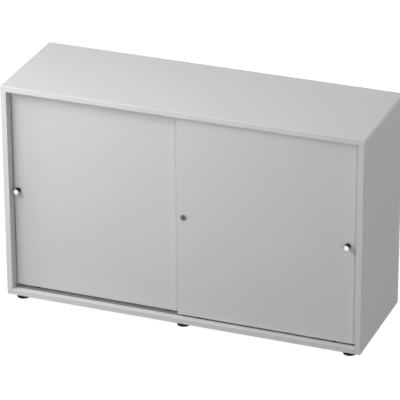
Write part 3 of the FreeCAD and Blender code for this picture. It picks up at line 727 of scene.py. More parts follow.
@dataclass(frozen=True)
class Pattern:
    """A form that a Geometry Nodes tree repeats at given places.

    turned is the form's own direction that is turned to each place's direction, about pivot
    where that is one of X, Y and Z.
    """

    name: str
    sizes: dict[str, float]
    turned: str = "Z"
    pivot: str = "AUTO"

    def form(self, tree: NodeTree, given: dict[str, NodeSocket]) -> Node:
        """Adds the nodes of one copy of the form.

        Args:
            tree: The pattern's tree.
            given: The sockets of its sizes by name.

        Returns:
            The node that gives the form's geometry.
        """
        raise NotImplementedError

    def tree(self) -> NodeTree:
        """The pattern's tree, which is made once."""
        made = bpy.data.node_groups.get(self.name)
        if made is not None:
            return made
        made = bpy.data.node_groups.new(self.name, "GeometryNodeTree")
        face = made.interface
        face.new_socket(name="Places", in_out="INPUT", socket_type="NodeSocketGeometry")
        for name, size in self.sizes.items():
            kind = "NodeSocketInt" if isinstance(size, int) else "NodeSocketFloat"
            face.new_socket(name=name, in_out="INPUT", socket_type=kind).default_value = size
        face.new_socket(name="Finish", in_out="INPUT", socket_type="NodeSocketMaterial")
        face.new_socket(name="Pieces", in_out="OUTPUT", socket_type="NodeSocketGeometry")
        add = partial(add_node, made)
        given = add("NodeGroupInput").outputs
        form = self.form(made, {name: given[name] for name in self.sizes})
        direction = add("GeometryNodeInputNamedAttribute", {"Name": "direction"}, data_type="FLOAT_VECTOR")
        turn = add(
            "FunctionNodeAlignRotationToVector", {"Vector": direction}, axis=self.turned,
            pivot_axis=self.pivot,
        )
        copies = add(
            "GeometryNodeInstanceOnPoints", {"Points": given["Places"], "Instance": form, "Rotation": turn}
        )
        real = add("GeometryNodeRealizeInstances", {0: copies})
        dressed = add("GeometryNodeSetMaterial", {0: real, "Material": given["Finish"]})
        add("NodeGroupOutput", {0: dressed})
        return made

    def at(self, places: Sequence[tuple[Vector, Vector]], finish: Finish, **sizes: float) -> Mesh:
        """Repeats the form.

        Args:
            places: Where each copy goes, and its direction.
            finish: Their finish.
            sizes: Sizes that differ from the pattern's own, with _ for each space.

        Returns:
            One plain mesh with all the copies.
        """
        points = bpy.data.meshes.new(self.name + "_places")
        points.from_pydata([tuple(place) for place, direction in places], [], [])
        attribute = points.attributes.new("direction", "FLOAT_VECTOR", "POINT")
        attribute.data.foreach_set("vector", [x for place, direction in places for x in direction])
        host = bpy.data.objects.new(self.name + "_host", points)
        modifier = host.modifiers.new(self.name, "NODES")
        modifier.node_group = self.tree()
        values = {**self.sizes, **{name.replace("_", " "): size for name, size in sizes.items()}}
        for item in modifier.node_group.interface.items_tree:
            if item.in_out == "INPUT" and item.name in values:
                modifier[item.identifier] = values[item.name]
            elif item.in_out == "INPUT" and item.name == "Finish":
                modifier[item.identifier] = finish.material()
        bpy.context.scene.collection.objects.link(host)
        graph = bpy.context.evaluated_depsgraph_get()
        mesh = bpy.data.meshes.new_from_object(host.evaluated_get(graph), depsgraph=graph)
        host.modifiers.clear()
        bpy.data.objects.remove(host)
        bpy.data.meshes.remove(points)
        return mesh


def add_thread(tree: NodeTree, core: Source, crest: Source, pitch: Source, length: Source) -> Node:
    """Adds a rolled thread that winds up from the origin.

    Args:
        tree: The pattern's tree.
        core: Radius of the thread's root.
        crest: Radius of its crest.
        pitch: Rise of one turn.
        length: Length of the whole thread.

    Returns:
        The node that gives the thread.
    """
    add = partial(add_node, tree)
    turns = add("ShaderNodeMath", {0: length, 1: pitch}, operation="DIVIDE")
    depth = add("ShaderNodeMath", {0: crest, 1: core}, operation="SUBTRACT")
    helix = add(
        "GeometryNodeCurveSpiral",
        {
            "Resolution": THREAD_STEPS, "Rotations": turns, "Start Radius": core, "End Radius": core,
            "Height": length,
        },
    )
    upright = add("GeometryNodeSetCurveNormal", {0: helix}, mode="Z_UP")
    ridge = add(
        "GeometryNodeCurvePrimitiveCircle", {"Resolution": THREAD_SIDES, "Radius": depth}, mode="RADIUS"
    )
    return add("GeometryNodeCurveToMesh", {0: upright, 1: ridge, "Fill Caps": True})


def lifted(tree: NodeTree, form: Source, height: Source | float) -> Node:
    """Adds a move of a form up the Z axis, and gives the moved form."""
    rise = add_node(tree, "ShaderNodeCombineXYZ", {"Z": height})
    return add_node(tree, "GeometryNodeTransform", {0: form, "Translation": rise})


def add_rod(
    tree: NodeTree, low: Source | float, radii: tuple[Source | float, Source | float], depth: Source,
    sides: int,
) -> Node:
    """Adds a rod that stands at a height on the Z axis, its radii those of foot and top."""
    rod = add_node(
        tree, "GeometryNodeMeshCone",
        {"Vertices": sides, "Radius Bottom": radii[0], "Radius Top": radii[1], "Depth": depth},
    )
    return lifted(tree, rod, low)


@dataclass(frozen=True)
class Screw(Pattern):
    """A countersunk chipboard screw with a cross recess, its head in the plane of its place.

    The shares of the core and the point are of the shank's radius, those of the recess's wings
    are of the head's radius, and recess_share is of the head's height.
    """

    name: str = "countersunk_screw"
    sizes: dict[str, float] = field(
        default_factory=lambda: {
            "Head Radius": 3.0 * MM, "Shank Radius": 1.5 * MM, "Length": 14.0 * MM,
            "Thread Pitch": 1.35 * MM,
        }
    )
    core_share: float = 0.72
    point_share: float = 1.6
    wing_length_share: float = 1.1
    wing_width_share: float = 0.24
    recess_share: float = 1.2
    head_sides: int = 32
    shank_sides: int = 16

    def form(self, tree: NodeTree, given: dict[str, NodeSocket]) -> Node:
        """Adds a recessed head, a core with a point, and the thread."""
        add = partial(add_node, tree)
        head, shank, length = given["Head Radius"], given["Shank Radius"], given["Length"]
        head_height = add("ShaderNodeMath", {0: head, 1: shank}, operation="SUBTRACT")
        core = add("ShaderNodeMath", {0: shank, 1: self.core_share}, operation="MULTIPLY")
        below = add("ShaderNodeMath", {0: length, 1: head_height}, operation="SUBTRACT")
        point = add("ShaderNodeMath", {0: shank, 1: self.point_share}, operation="MULTIPLY")
        straight = add("ShaderNodeMath", {0: below, 1: point}, operation="SUBTRACT")
        tip = add("ShaderNodeMath", {0: length, 1: point}, operation="SUBTRACT")
        cone = add(
            "GeometryNodeMeshCone",
            {"Vertices": self.head_sides, "Radius Bottom": head, "Radius Top": shank, "Depth": head_height},
        )
        shares = (self.wing_length_share, self.wing_width_share)
        long_side, short_side = (
            add("ShaderNodeMath", {0: head, 1: share}, operation="MULTIPLY") for share in shares
        )
        deep = add("ShaderNodeMath", {0: head_height, 1: self.recess_share}, operation="MULTIPLY")
        wings = []
        for wide, narrow in ((long_side, short_side), (short_side, long_side)):
            size = add("ShaderNodeCombineXYZ", {"X": wide, "Y": narrow, "Z": deep})
            wings.append(add("GeometryNodeMeshCube", {0: size}))
        recessed = add("GeometryNodeMeshBoolean", {0: cone, 1: wings, "Self Intersection": True}, **CUT)
        shaft = add_rod(tree, head_height, (core, core), straight, self.shank_sides)
        nib = add_rod(tree, tip, (core, 0.0), point, self.shank_sides)
        thread = add_thread(tree, core, shank, given["Thread Pitch"], straight)
        wound = lifted(tree, thread, head_height)
        body = add("GeometryNodeMeshBoolean", {1: [recessed, shaft, nib]}, **UNION)
        return add("GeometryNodeJoinGeometry", {0: [body, wound]})


@dataclass(frozen=True)
class FlutedDowel(Pattern):
    """A dowel with rolled flutes and tapered ends, centred on its place."""

    name: str = "fluted_dowel"
    sizes: dict[str, float] = field(
        default_factory=lambda: {
            "Radius": 4.0 * MM, "Length": 30.0 * MM, "Flutes": 18, "Flute Depth": 0.25 * MM,
            "Taper": 2.0 * MM,
        }
    )
    end_share: float = 0.82
    rings: int = 16

    def form(self, tree: NodeTree, given: dict[str, NodeSocket]) -> Node:
        """Adds the fluted section, swept along the dowel and narrowed at its ends."""
        add = partial(add_node, tree)
        inner = add("ShaderNodeMath", {0: given["Radius"], 1: given["Flute Depth"]}, operation="SUBTRACT")
        section = add(
            "GeometryNodeCurveStar",
            {"Points": given["Flutes"], "Inner Radius": inner, "Outer Radius": given["Radius"]},
        )
        half = add("ShaderNodeMath", {0: given["Length"], 1: 0.5}, operation="MULTIPLY")
        minus = add("ShaderNodeMath", {0: half, 1: -1.0}, operation="MULTIPLY")
        low = add("ShaderNodeCombineXYZ", {"Z": minus})
        high = add("ShaderNodeCombineXYZ", {"Z": half})
        line = add("GeometryNodeCurvePrimitiveLine", {0: low, 1: high})
        path = add("GeometryNodeResampleCurve", {0: line, "Count": self.rings})
        place = add("GeometryNodeInputPosition")
        height = add("ShaderNodeSeparateXYZ", {0: place})
        distance = add("ShaderNodeMath", {0: height.outputs["Z"]}, operation="ABSOLUTE")
        shoulder = add("ShaderNodeMath", {0: half, 1: given["Taper"]}, operation="SUBTRACT")
        width = add(
            "ShaderNodeMapRange",
            {
                "Value": distance, "From Min": shoulder, "From Max": half, "To Min": 1.0,
                "To Max": self.end_share,
            },
        )
        shaped = add("GeometryNodeSetCurveRadius", {0: path, "Radius": width})
        return add("GeometryNodeCurveToMesh", {0: shaped, 1: section, "Scale": width, "Fill Caps": True})


@dataclass(frozen=True)
class ShelfPin(Pattern):
    """A shelf pin, its mouth in the plane of its place and a flat on top of its nose."""

    name: str = "shelf_pin"
    sizes: dict[str, float] = field(
        default_factory=lambda: {
            "Stem Radius": 2.5 * MM, "Stem Length": 8.5 * MM, "Nose Radius": 3.5 * MM,
            "Nose Length": 8.0 * MM, "Flat Height": 2.5 * MM, "Chamfer": 0.6 * MM,
        }
    )
    turned: str = "X"
    pivot: str = "Z"
    cutter_length_share: float = 3.0
    sides: int = 32

    def form(self, tree: NodeTree, given: dict[str, NodeSocket]) -> Node:
        """Adds the chamfered stem and nose, cuts the flat and lays them along X."""
        add = partial(add_node, tree)
        ends = {}
        for part in ("Stem", "Nose"):
            radius, length = given[part + " Radius"], given[part + " Length"]
            tip_radius = add("ShaderNodeMath", {0: radius, 1: given["Chamfer"]}, operation="SUBTRACT")
            straight = add("ShaderNodeMath", {0: length, 1: given["Chamfer"]}, operation="SUBTRACT")
            bar = add_rod(tree, 0.0, (radius, radius), straight, self.sides)
            tip = add_rod(tree, straight, (radius, tip_radius), given["Chamfer"], self.sides)
            way = 1.0 if part == "Stem" else -1.0
            whole = add("GeometryNodeMeshBoolean", {1: [bar, tip]}, **UNION)
            laid = add("GeometryNodeTransform", {0: whole, "Rotation": (0.0, way * math.pi / 2, 0.0)})
            ends[part] = add("GeometryNodeMergeByDistance", {0: laid, "Distance": WELD})
        above = add("ShaderNodeMath", {0: given["Flat Height"], 1: given["Nose Radius"]}, operation="ADD")
        block_size = add("ShaderNodeMath", {0: given["Nose Radius"], 1: 2.0}, operation="MULTIPLY")
        block_length = add(
            "ShaderNodeMath", {0: given["Nose Length"], 1: self.cutter_length_share}, operation="MULTIPLY"
        )
        size = add("ShaderNodeCombineXYZ", {"X": block_length, "Y": block_size, "Z": block_size})
        block = add("GeometryNodeMeshCube", {0: size})
        raised = lifted(tree, block, above)
        flat = add(
            "GeometryNodeMeshBoolean", {0: ends["Nose"], 1: raised, "Self Intersection": True}, **CUT
        )
        return add("GeometryNodeMeshBoolean", {1: [ends["Stem"], flat]}, **UNION)


@dataclass(frozen=True)
class ThreadedRod(Pattern):
    """A metric rod with a rolled thread, standing on its place."""

    name: str = "threaded_rod"
    sizes: dict[str, float] = field(
        default_factory=lambda: {
            "Core Radius": 3.4 * MM, "Radius": 4.0 * MM, "Pitch": 1.25 * MM, "Length": 20.0 * MM
        }
    )
    sides: int = 24

    def form(self, tree: NodeTree, given: dict[str, NodeSocket]) -> Node:
        """Adds the core and the thread round it, which both end short of the rod's ends."""
        add = partial(add_node, tree)
        inset = add("ShaderNodeMath", {0: given["Length"], 1: given["Pitch"]}, operation="SUBTRACT")
        thread = add_thread(tree, given["Core Radius"], given["Radius"], given["Pitch"], inset)
        half_pitch = add("ShaderNodeMath", {0: given["Pitch"], 1: 0.5}, operation="MULTIPLY")
        raised = lifted(tree, thread, half_pitch)
        radii = (given["Core Radius"], given["Core Radius"])
        core = add_rod(tree, 0.0, radii, given["Length"], self.sides)
        return add("GeometryNodeJoinGeometry", {0: [core, raised]})


@dataclass(frozen=True)
class Ribs(Pattern):
    """Straight ribs that stand in a ring round the place's direction."""

    name: str = "ring_of_ribs"
    sizes: dict[str, float] = field(
        default_factory=lambda: {
            "Ribs": 12, "Inner Radius": 8.0 * MM, "Outer Radius": 18.0 * MM, "Width": 1.2 * MM,
            "Height": 2.8 * MM,
        }
    )

    def form(self, tree: NodeTree, given: dict[str, NodeSocket]) -> Node:
        """Adds one rib on each point of a ring, turned away from the middle."""
        add = partial(add_node, tree)
        total = add("ShaderNodeMath", {0: given["Inner Radius"], 1: given["Outer Radius"]}, operation="ADD")
        middle = add("ShaderNodeMath", {0: total, 1: 0.5}, operation="MULTIPLY")
        length = add(
            "ShaderNodeMath", {0: given["Outer Radius"], 1: given["Inner Radius"]}, operation="SUBTRACT"
        )
        size = add("ShaderNodeCombineXYZ", {"X": length, "Y": given["Width"], "Z": given["Height"]})
        rib = add("GeometryNodeMeshCube", {0: size})
        ring = add(
            "GeometryNodeMeshCircle", {"Vertices": given["Ribs"], "Radius": middle}, fill_type="NONE"
        )
        outward = add("GeometryNodeInputPosition")
        turn = add("FunctionNodeAlignRotationToVector", {"Vector": outward}, axis="X", pivot_axis="Z")
        return add("GeometryNodeInstanceOnPoints", {"Points": ring, "Instance": rib, "Rotation": turn})


# --- sub-assemblies ---


@dataclass
class Boards:
    """The melamine boards of carcass, shelves and doors, with their plastic edging."""

    boards: tuple[str, ...] = (
        "top_panel", "bottom_panel", "left_side_panel", "right_side_panel", "centre_partition",
        "back_panel", "left_shelf", "right_shelf", "left_door_panel", "right_door_panel",
    )

    def build(self) -> None:
        """Gives each board its own skin and core, and each edging the plastic."""
        for node in self.boards:
            box = Box.of(node)
            thin = box.thin_axis
            middle, thickness = box.centre[thin.value], box.size[thin.value]
            paint(node, MelamineBoard("melamine_" + node, thin, middle, thickness))
        for node in sorted(frame["nodes"]):
            if node.endswith("_edging"):
                paint(node, ABS_EDGING)


@dataclass
class Joinery:
    """What holds the carcass together and its shelves up: dowels and shelf pins."""

    dowel: FlutedDowel
    pin: ShelfPin

    def build(self) -> None:
        """Builds the dowels and the pins where the frame has them."""
        bars = bars_of("carcass_dowels")
        places = [(bar.seat + bar.direction * bar.length / 2, bar.direction) for bar in bars]
        mesh = self.dowel.at(places, BEECH, Radius=bars[0].wide_radius, Length=bars[0].length)
        keep(mesh, "fluted_dowels", BEECH, "carcass_dowels")
        bars = bars_of("shelf_pins", Axis.X)
        nose = self.pin.sizes["Nose Length"]
        places = [(bar.seat + bar.direction * nose, bar.direction) for bar in bars]
        mesh = self.pin.at(places, ZINC, Stem_Length=bars[0].length - nose)
        keep(mesh, "plated_shelf_pins", ZINC, "shelf_pins")


@dataclass
class Screws:
    """Every screw, by the node that holds its place and the direction that it lies along."""

    screw: Screw
    groups: tuple[tuple[str, Axis], ...] = (
        ("rail_screws", Axis.Z),
        ("left_runner_screws", Axis.Y),
        ("right_runner_screws", Axis.Y),
        ("left_knob_screw", Axis.Y),
        ("right_knob_screw", Axis.Y),
        ("lock_striker_screws", Axis.Y),
        ("lock_tongue_screw", Axis.Y),
    )

    def build(self) -> None:
        """Builds one mesh of screws for each node."""
        for node, axis in self.groups:
            bars = bars_of(node, axis)
            mesh = self.screw.at(
                [(bar.seat, bar.direction) for bar in bars], ZINC, Head_Radius=bars[0].wide_radius,
                Shank_Radius=bars[0].narrow_radius, Length=bars[0].length,
            )
            keep(mesh, "threaded_" + node, ZINC, node)


@dataclass
class Rails:
    """The extruded rails that the doors run in, and the rubber dots that they close on."""

    edge_mm: float = 0.4
    dot_dome_mm: float = 0.9
    dot_segments: int = 32

    def build(self) -> None:
        """Finishes both rails and builds the dots."""
        for node in ("bottom_running_rail", "top_guide_rail"):
            soften(node, self.edge_mm, PVC_RAIL)
        dots = []
        for bar in bars_of("door_buffers", Axis.X):
            radius, height = bar.wide_radius / MM, bar.length / MM
            corners = [(0, 0, 0), (radius, 0, 0), (radius, height, self.dot_dome_mm), (0, height, 0)]
            dots.append(turned(corners, bar.seat, bar.direction, self.dot_segments))
        keep(joined(dots), "domed_buffers", RUBBER, "door_buffers")


@dataclass
class Knob:
    """A turned knob: a foot ring, a short waist and a drum head with a dimple in its face."""

    side: str
    foot_radius_mm: float = 8.6
    foot_height_mm: float = 2.2
    waist_radius_mm: float = 6.8
    waist_height_mm: float = 3.6
    head_low_mm: float = 6.0
    rim_mm: float = 0.9
    dimple_radius_mm: float = 2.2
    dimple_depth_mm: float = 0.8
    dimple_floor_share: float = 0.6
    bore_radius_mm: float = 2.0
    bore_depth_mm: float = 11.0
    segments: int = 96

    def build(self) -> None:
        """Turns the knob on the axis of its node."""
        node = self.side + "_knob"
        box = Box.of(node)
        radius, length = box.turned_mm(Axis.Y)
        face = length - self.dimple_depth_mm
        corners = [
            (self.bore_radius_mm, 0, 0),
            (self.foot_radius_mm, 0, 0),
            (self.foot_radius_mm, self.foot_height_mm, 0.5),
            (self.waist_radius_mm, self.waist_height_mm, 0.6),
            (radius, self.head_low_mm, 0.8),
            (radius, length, self.rim_mm),
            (self.dimple_radius_mm, length, 0.25),
            (self.dimple_radius_mm * self.dimple_floor_share, face, 0.4),
            (0, face, 0),
            (0, self.bore_depth_mm, 0),
            (self.bore_radius_mm, self.bore_depth_mm, 0),
        ]
        back = box.end(Axis.Y, high=True)
        mesh = turned(corners, back, -Axis.Y.vector, self.segments)
        # The knob's polished metal gets painted reflections: dark on its body, bright on its face.
        finish = nickel_with_painted_reflections(
            self.side + "_black_nickel", back, (radius - self.rim_mm / 2) * MM,
            box.low.y + 2 * self.dimple_depth_mm * MM,
        )
        keep(mesh, self.side + "_turned_knob", finish, node)


@dataclass
class CylinderLock:
    """The cam lock: a bevelled flange, a recessed plug with its keyway, a tongue and a striker."""

    flange_mm: float = 1.5
    flange_bevel_mm: float = 0.7
    barrel_radius_mm: float = 9.2
    head_bore_mm: float = 7.55
    body_bore_mm: float = 6.05
    step_mm: float = 4.5
    plug_radius_mm: float = 6.0
    plug_head_mm: float = 4.0
    keyway_depth_mm: float = 7.0
    keyway_start_mm: float = -1.0
    stamped_edge_mm: float = 0.25
    segments: int = 96

    def keyway(self) -> list[tuple[float, float]]:
        """Outline of the keyway across and up, in mm, with its two wards."""
        right = [(1.0, -4.4), (1.0, -2.4), (0.4, -1.8), (0.4, -0.6), (1.0, 0.0), (1.0, 4.4)]
        return right + [(-x, -z) for x, z in right]

    def cut_keyway(self, plug: Mesh, face: Vector) -> Mesh:
        """Cuts the keyway into a plug.

        Args:
            plug: The plug's mesh, which is used up.
            face: Middle of its face.

        Returns:
            The cut mesh.
        """
        form = bmesh.new()
        loops = []
        for y in (self.keyway_start_mm, self.keyway_depth_mm):
            corners = [face + Vector((x, y, z)) * MM for x, z in self.keyway()]
            loops.append([form.verts.new(corner) for corner in corners])
        front, back = loops
        form.faces.new(front)
        form.faces.new(back)
        for k, corner in enumerate(front):
            form.faces.new([front[k - 1], corner, back[k], back[k - 1]])
        slot = bpy.data.objects.new("keyway_slot", to_mesh(form))
        blank = bpy.data.objects.new("plug_blank", plug)
        for each in (slot, blank):
            bpy.context.scene.collection.objects.link(each)
        cut = blank.modifiers.new("keyway", "BOOLEAN")
        cut.object = slot
        cut.operation, cut.solver = CUT["operation"], CUT["solver"]
        graph = bpy.context.evaluated_depsgraph_get()
        mesh = bpy.data.meshes.new_from_object(blank.evaluated_get(graph), depsgraph=graph)
        for each in (slot, blank):
            bpy.data.objects.remove(each)
        return mesh

    def build(self) -> None:
        """Builds sleeve and plug, and finishes the tongue and its striker."""
        box = Box.of("lock_housing")
        ring = brushed_nickel("brushed_nickel", "868686", "7B7B7B", box.centre)
        # The plug is painted darker than the sleeve, as painted shade of its recess and keyway; both are
        # the same nickel.
        dull = brushed_nickel("dull_nickel", "696969", "5E5E5E", box.centre)
        face = box.end(Axis.Y)
        radius, length = box.turned_mm(Axis.Y)
        sleeve = [
            (self.head_bore_mm, 0, 0.2),
            (radius - self.flange_bevel_mm, 0, 0.4),
            (radius, self.flange_bevel_mm, 0.3),
            (radius, self.flange_mm, 0),
            (self.barrel_radius_mm, self.flange_mm, 0),
            (self.barrel_radius_mm, length, 0.3),
            (self.body_bore_mm, length, 0.2),
            (self.body_bore_mm, self.step_mm, 0),
            (self.head_bore_mm, self.step_mm, 0),
        ]
        mesh = turned(sleeve, face, Axis.Y.vector, self.segments)
        keep(mesh, "lock_flanged_sleeve", ring, "lock_housing")

        plug_box = Box.of("lock_plug")
        front = Vector((face.x, plug_box.low.y, face.z))
        head_radius, tail = plug_box.turned_mm(Axis.Y)
        plug = [
            (0, 0, 0),
            (head_radius, 0, 0.35),
            (head_radius, self.plug_head_mm, 0),
            (self.plug_radius_mm, self.plug_head_mm, 0),
            (self.plug_radius_mm, tail, 0.3),
            (0, tail, 0),
        ]
        blank = turned(plug, front, Axis.Y.vector, self.segments)
        # The plug gets the darker nickel, which is painted shade.
        keep(self.cut_keyway(blank, front), "lock_keyed_plug", dull, "lock_plug")
        for node in ("lock_tongue", "lock_striker"):
            soften(node, self.stamped_edge_mm, ZINC)


@dataclass
class RunningGear:
    """What carries and guides one door: two rollers in moulded housings, and two top guides."""

    side: str
    rib: Ribs
    moulded_edge_mm: float = 0.35
    hub_radius_mm: float = 4.0
    rim_radius_mm: float = 9.0
    web_mm: float = 1.2
    bore_radius_mm: float = 1.55
    tread_round_mm: float = 1.0
    edge_mm: float = 0.3
    web_fillet_mm: float = 0.4
    bore_edge_mm: float = 0.1
    spokes: int = 6
    spoke_mm: float = 1.0
    overlap_mm: float = 0.5
    segments: int = 64

    def roller(self, end: str) -> None:
        """Builds a roller with a crowned tread, a thin web and spokes."""
        node = f"{self.side}_wheel_{end}"
        box = Box.of(node)
        radius, width = box.turned_mm(Axis.Y)
        half = width / 2
        hub, rim, web = self.hub_radius_mm, self.rim_radius_mm, self.web_mm
        edge, fillet = self.edge_mm, self.web_fillet_mm
        one_side = [
            (radius, half, self.tread_round_mm),
            (rim, half, edge),
            (rim - edge, web, fillet),
            (hub + edge, web, fillet),
            (hub, half, edge),
            (self.bore_radius_mm, half, self.bore_edge_mm),
        ]
        other_side = [(r, -h, rounding) for r, h, rounding in reversed(one_side)]
        wheel = turned(one_side + other_side, box.centre, Axis.Y.vector, self.segments)
        spokes = self.rib.at(
            [(box.centre, Axis.Y.vector)], BLACK_ACETAL, Ribs=self.spokes,
            Inner_Radius=(hub - self.overlap_mm) * MM, Outer_Radius=(rim + self.overlap_mm) * MM,
            Width=self.spoke_mm * MM, Height=(half - edge) * 2 * MM,
        )
        keep(joined([wheel, spokes]), f"{self.side}_spoked_roller_{end}", BLACK_ACETAL, node)

    def build(self) -> None:
        """Builds the rollers and finishes what holds them."""
        for end in ("left", "right"):
            self.roller(end)
        soften(self.side + "_runner_housings", self.moulded_edge_mm, BLACK_ACETAL)
        soften(self.side + "_top_guides", self.moulded_edge_mm, ACETAL)
        paint(self.side + "_runner_axles", ZINC)


@dataclass
class LevellingFoot:
    """A moulded pad with ribs and a hexagon for a spanner, on a threaded stem."""

    name: str
    rib: Ribs
    rod: ThreadedRod
    rim_height_mm: float = 4.0
    hollow_mm: float = 0.6
    hollow_inset_mm: float = 2.0
    cone_high_mm: float = 7.0
    across_flats_mm: float = 17.0
    bore_radius_mm: float = 4.0
    bore_low_mm: float = 3.0
    nut_bevel_mm: float = 0.5
    overlap_mm: float = 1.0
    rib_inset_mm: float = 3.0
    rib_drop_mm: float = 0.3
    segments: int = 72

    def build(self) -> None:
        """Builds pad and stem on the axis of their nodes."""
        node = self.name + "_foot_pad"
        box = Box.of(node)
        seat, upright = box.end(Axis.Z), Axis.Z.vector
        radius, top = box.turned_mm(Axis.Z)
        corner = self.across_flats_mm / 2 / math.cos(math.pi / 6)
        sole = radius - self.hollow_inset_mm
        disc = [
            (0, self.hollow_mm, 0),
            (sole, self.hollow_mm, 0.2),
            (sole, 0, 0.3),
            (radius, 0, 0.5),
            (radius, self.rim_height_mm, 1.2),
            (corner, self.cone_high_mm, 0.6),
            (self.bore_radius_mm, self.cone_high_mm, 0),
            (self.bore_radius_mm, self.bore_low_mm, 0),
            (0, self.bore_low_mm, 0),
        ]
        bevel, bore = self.nut_bevel_mm, self.bore_radius_mm
        inside = self.cone_high_mm - self.overlap_mm
        nut = [
            (bore, inside, 0),
            (corner, inside, 0),
            (corner, top - bevel, 0),
            (corner - bevel, top, 0),
            (bore + bevel, top, 0),
            (bore, top - bevel, 0),
        ]
        parts = [
            turned(disc, seat, upright, self.segments),
            turned(nut, seat, upright, self.segments, hexagons=(1, 2, 3)),
        ]
        ribs_low = self.rim_height_mm - self.overlap_mm
        height = self.cone_high_mm - ribs_low - self.rib_drop_mm
        middle = seat + Vector((0, 0, (ribs_low + height / 2) * MM))
        parts.append(
            self.rib.at(
                [(middle, upright)], BLACK_PLASTIC, Inner_Radius=(corner - self.overlap_mm) * MM,
                Outer_Radius=(radius - self.rib_inset_mm) * MM, Height=height * MM,
            )
        )
        keep(joined(parts), self.name + "_ribbed_pad", BLACK_PLASTIC, node)

        node = self.name + "_foot_stem"
        box = Box.of(node)
        stem = self.rod.at([(box.end(Axis.Z), upright)], ZINC, Length=box.size.z)
        keep(stem, self.name + "_threaded_stem", ZINC, node)


# --- studio ---


def bearing(azimuth: float, elevation: float) -> Vector:
    """Unit vector towards a place round the cabinet, where azimuth 0 is straight in front."""
    flat = math.cos(elevation)
    return Vector((math.sin(azimuth) * flat, -math.cos(azimuth) * flat, math.sin(elevation)))


@dataclass
class Softbox:
    """A large square lamp that points at the middle of the cabinet.

    mirrored is False for a low lamp, which would else whiten the top in a flat view across it.
    """

    name: str
    azimuth_deg: float
    elevation_deg: float
    distance: float
    side: float
    power: float
    mirrored: bool = True
    target: Vector = Vector((0.0, 0.0, 0.4))

    def build(self) -> None:
        """Hangs the lamp."""
        data = bpy.data.lights.new(self.name, "AREA")
        data.shape = "SQUARE"
        data.size = self.side
        data.energy = self.power
        lamp = bpy.data.objects.new(self.name, data)
        away = bearing(math.radians(self.azimuth_deg), math.radians(self.elevation_deg))
        lamp.location = self.target + away * self.distance
        lamp.rotation_mode = "QUATERNION"
        lamp.rotation_quaternion = (-away).to_track_quat("-Z", "Y")
        lamp.visible_glossy = self.mirrored
        lamp.visible_camera = False
        bpy.context.scene.collection.objects.link(lamp)


@dataclass
class Camera:
    """A long lens that looks down on the cabinet from the right."""

    azimuth: float = math.radians(21.2)
    elevation: float = math.radians(25.34)
    roll: float = math.radians(-0.3)
    distance: float = 9.525
    target: Vector = Vector((0.0, 0.0, 0.38))
    shift_right: float = -0.0046
    shift_up: float = -0.0148
    focal_px: float = 3004.0
    image_px: float = 400.0
    sensor_mm: float = 36.0
    far: float = 100.0

    def build(self) -> None:
        """Sets the scene's camera."""
        back = bearing(self.azimuth, self.elevation)
        level = Vector((math.cos(self.azimuth), math.sin(self.azimuth), 0.0))
        upright = back.cross(level)
        right = level * math.cos(self.roll) + upright * math.sin(self.roll)
        up = upright * math.cos(self.roll) - level * math.sin(self.roll)
        eye = self.target + back * self.distance + right * self.shift_right + up * self.shift_up
        data = bpy.data.cameras.new("camera")
        data.sensor_width = self.sensor_mm
        data.lens = self.sensor_mm * self.focal_px / self.image_px
        data.clip_end = self.far
        camera = bpy.data.objects.new("camera", data)
        turn = Matrix((right, up, back)).transposed().to_4x4()
        camera.matrix_world = Matrix.Translation(eye) @ turn
        bpy.context.scene.collection.objects.link(camera)
        bpy.context.scene.camera = camera


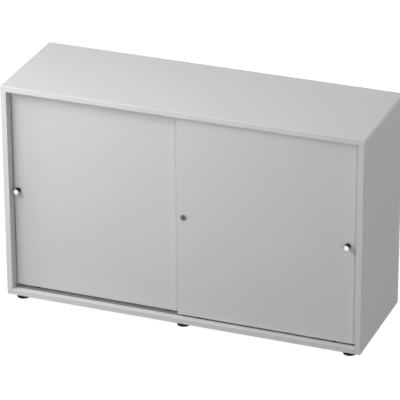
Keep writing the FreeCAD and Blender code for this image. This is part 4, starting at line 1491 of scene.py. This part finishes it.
@dataclass
class Studio:
    """A plain pale room, lit softly from all sides.

    glow is how white the floor and the sky show, and it lights nothing.
    """

    floor_side: float = 40.0
    floor_hex: str = "707070"
    glow: float = 0.96
    ambient: float = 0.01
    lamps: tuple[Softbox, ...] = (
        Softbox("overhead_softbox", -75.0, 70.0, 3.0, 2.0, 24.0),
        Softbox("front_softbox", -20.0, 20.0, 2.4, 1.2, 9.0, mirrored=False),
        Softbox("left_front_softbox", -75.0, 0.0, 1.6, 0.5, 6.8, mirrored=False),
        Softbox("upper_left_softbox", -40.0, 40.0, 2.4, 1.2, 36.6),
        Softbox("right_front_softbox", 38.0, 15.0, 9.0, 1.8, 225.0, mirrored=False),
        Softbox("right_side_softbox", 100.0, 30.0, 4.0, 1.6, 16.0, mirrored=False),
        Softbox("rear_softbox", 130.0, 60.0, 4.0, 2.0, 25.4),
        Softbox("back_fill_softbox", 180.0, 3.0, 4.0, 0.9, 80.0, mirrored=False),
        Softbox("left_fill_softbox", -95.0, 3.0, 4.0, 0.9, 45.0, mirrored=False),
    )

    def seen(self, tree: NodeTree) -> Node:
        """Adds the nodes that tell what is looked at from what lights the cabinet.

        Args:
            tree: The tree of the floor or the world.

        Returns:
            A node that gives 1 for a ray of the camera, a mirror or a glass, and 0 for others.
        """
        add = partial(add_node, tree)
        path = add("ShaderNodeLightPath")
        either = add(
            "ShaderNodeMath", {0: path.outputs["Is Camera Ray"], 1: path.outputs["Is Glossy Ray"]},
            operation="MAXIMUM",
        )
        return add(
            "ShaderNodeMath", {0: either, 1: path.outputs["Is Transmission Ray"]}, operation="MAXIMUM"
        )

    def floor(self) -> None:
        """Lays a matt floor that shows white and still takes the cabinet's shadow."""
        form = bmesh.new()
        bmesh.ops.create_grid(form, x_segments=1, y_segments=1, size=self.floor_side / 2)
        mesh = bpy.data.meshes.new("floor")
        form.to_mesh(mesh)
        form.free()
        material = bpy.data.materials.new("painted_floor")
        material.use_nodes = True
        tree = material.node_tree
        tree.nodes.clear()
        add = partial(add_node, tree)
        paint_coat = add("ShaderNodeBsdfDiffuse", {"Color": linear(self.floor_hex)})
        glow = add("ShaderNodeEmission", {"Strength": self.glow})
        shown = add("ShaderNodeAddShader", {0: paint_coat, 1: glow})
        shader = add("ShaderNodeMixShader", {0: self.seen(tree), 1: paint_coat, 2: shown})
        add("ShaderNodeOutputMaterial", {"Surface": shader})
        mesh.materials.append(material)
        floor = bpy.data.objects.new("floor", mesh)
        bpy.context.scene.collection.objects.link(floor)

    def sky(self) -> None:
        """Makes the room white to look at, and a weak even light on the cabinet."""
        world = bpy.data.worlds.new("room")
        world.use_nodes = True
        tree = world.node_tree
        tree.nodes.clear()
        add = partial(add_node, tree)
        levels = (self.ambient, self.glow)
        weak, white = (
            add("ShaderNodeBackground", {"Color": linear("FFFFFF"), "Strength": level}) for level in levels
        )
        mixed = add("ShaderNodeMixShader", {0: self.seen(tree), 1: weak, 2: white})
        add("ShaderNodeOutputWorld", {"Surface": mixed})
        bpy.context.scene.world = world

    def build(self) -> None:
        """Builds the floor, the sky and the lamps."""
        self.floor()
        self.sky()
        for lamp in self.lamps:
            lamp.build()
        bpy.context.scene.view_settings.view_transform = "Standard"


def main() -> None:
    """Builds the studio and every sub-assembly of the cabinet in order."""
    logging.basicConfig(level=logging.INFO, format="%(name)s: %(message)s")
    Camera().build()
    Studio().build()
    ribs = Ribs()
    rod = ThreadedRod()
    Boards().build()
    Joinery(FlutedDowel(), ShelfPin()).build()
    Rails().build()
    Screws(Screw()).build()
    for side in ("left", "right"):
        Knob(side).build()
        RunningGear(side, ribs).build()
    CylinderLock().build()
    soften("foot_sockets", SOCKET_EDGE_MM, BLACK_PLASTIC)
    for row in ("front", "back"):
        for column in ("left", "middle", "right"):
            LevellingFoot(f"{row}_{column}", ribs, rod).build()


if __name__ == "__main__":
    main()
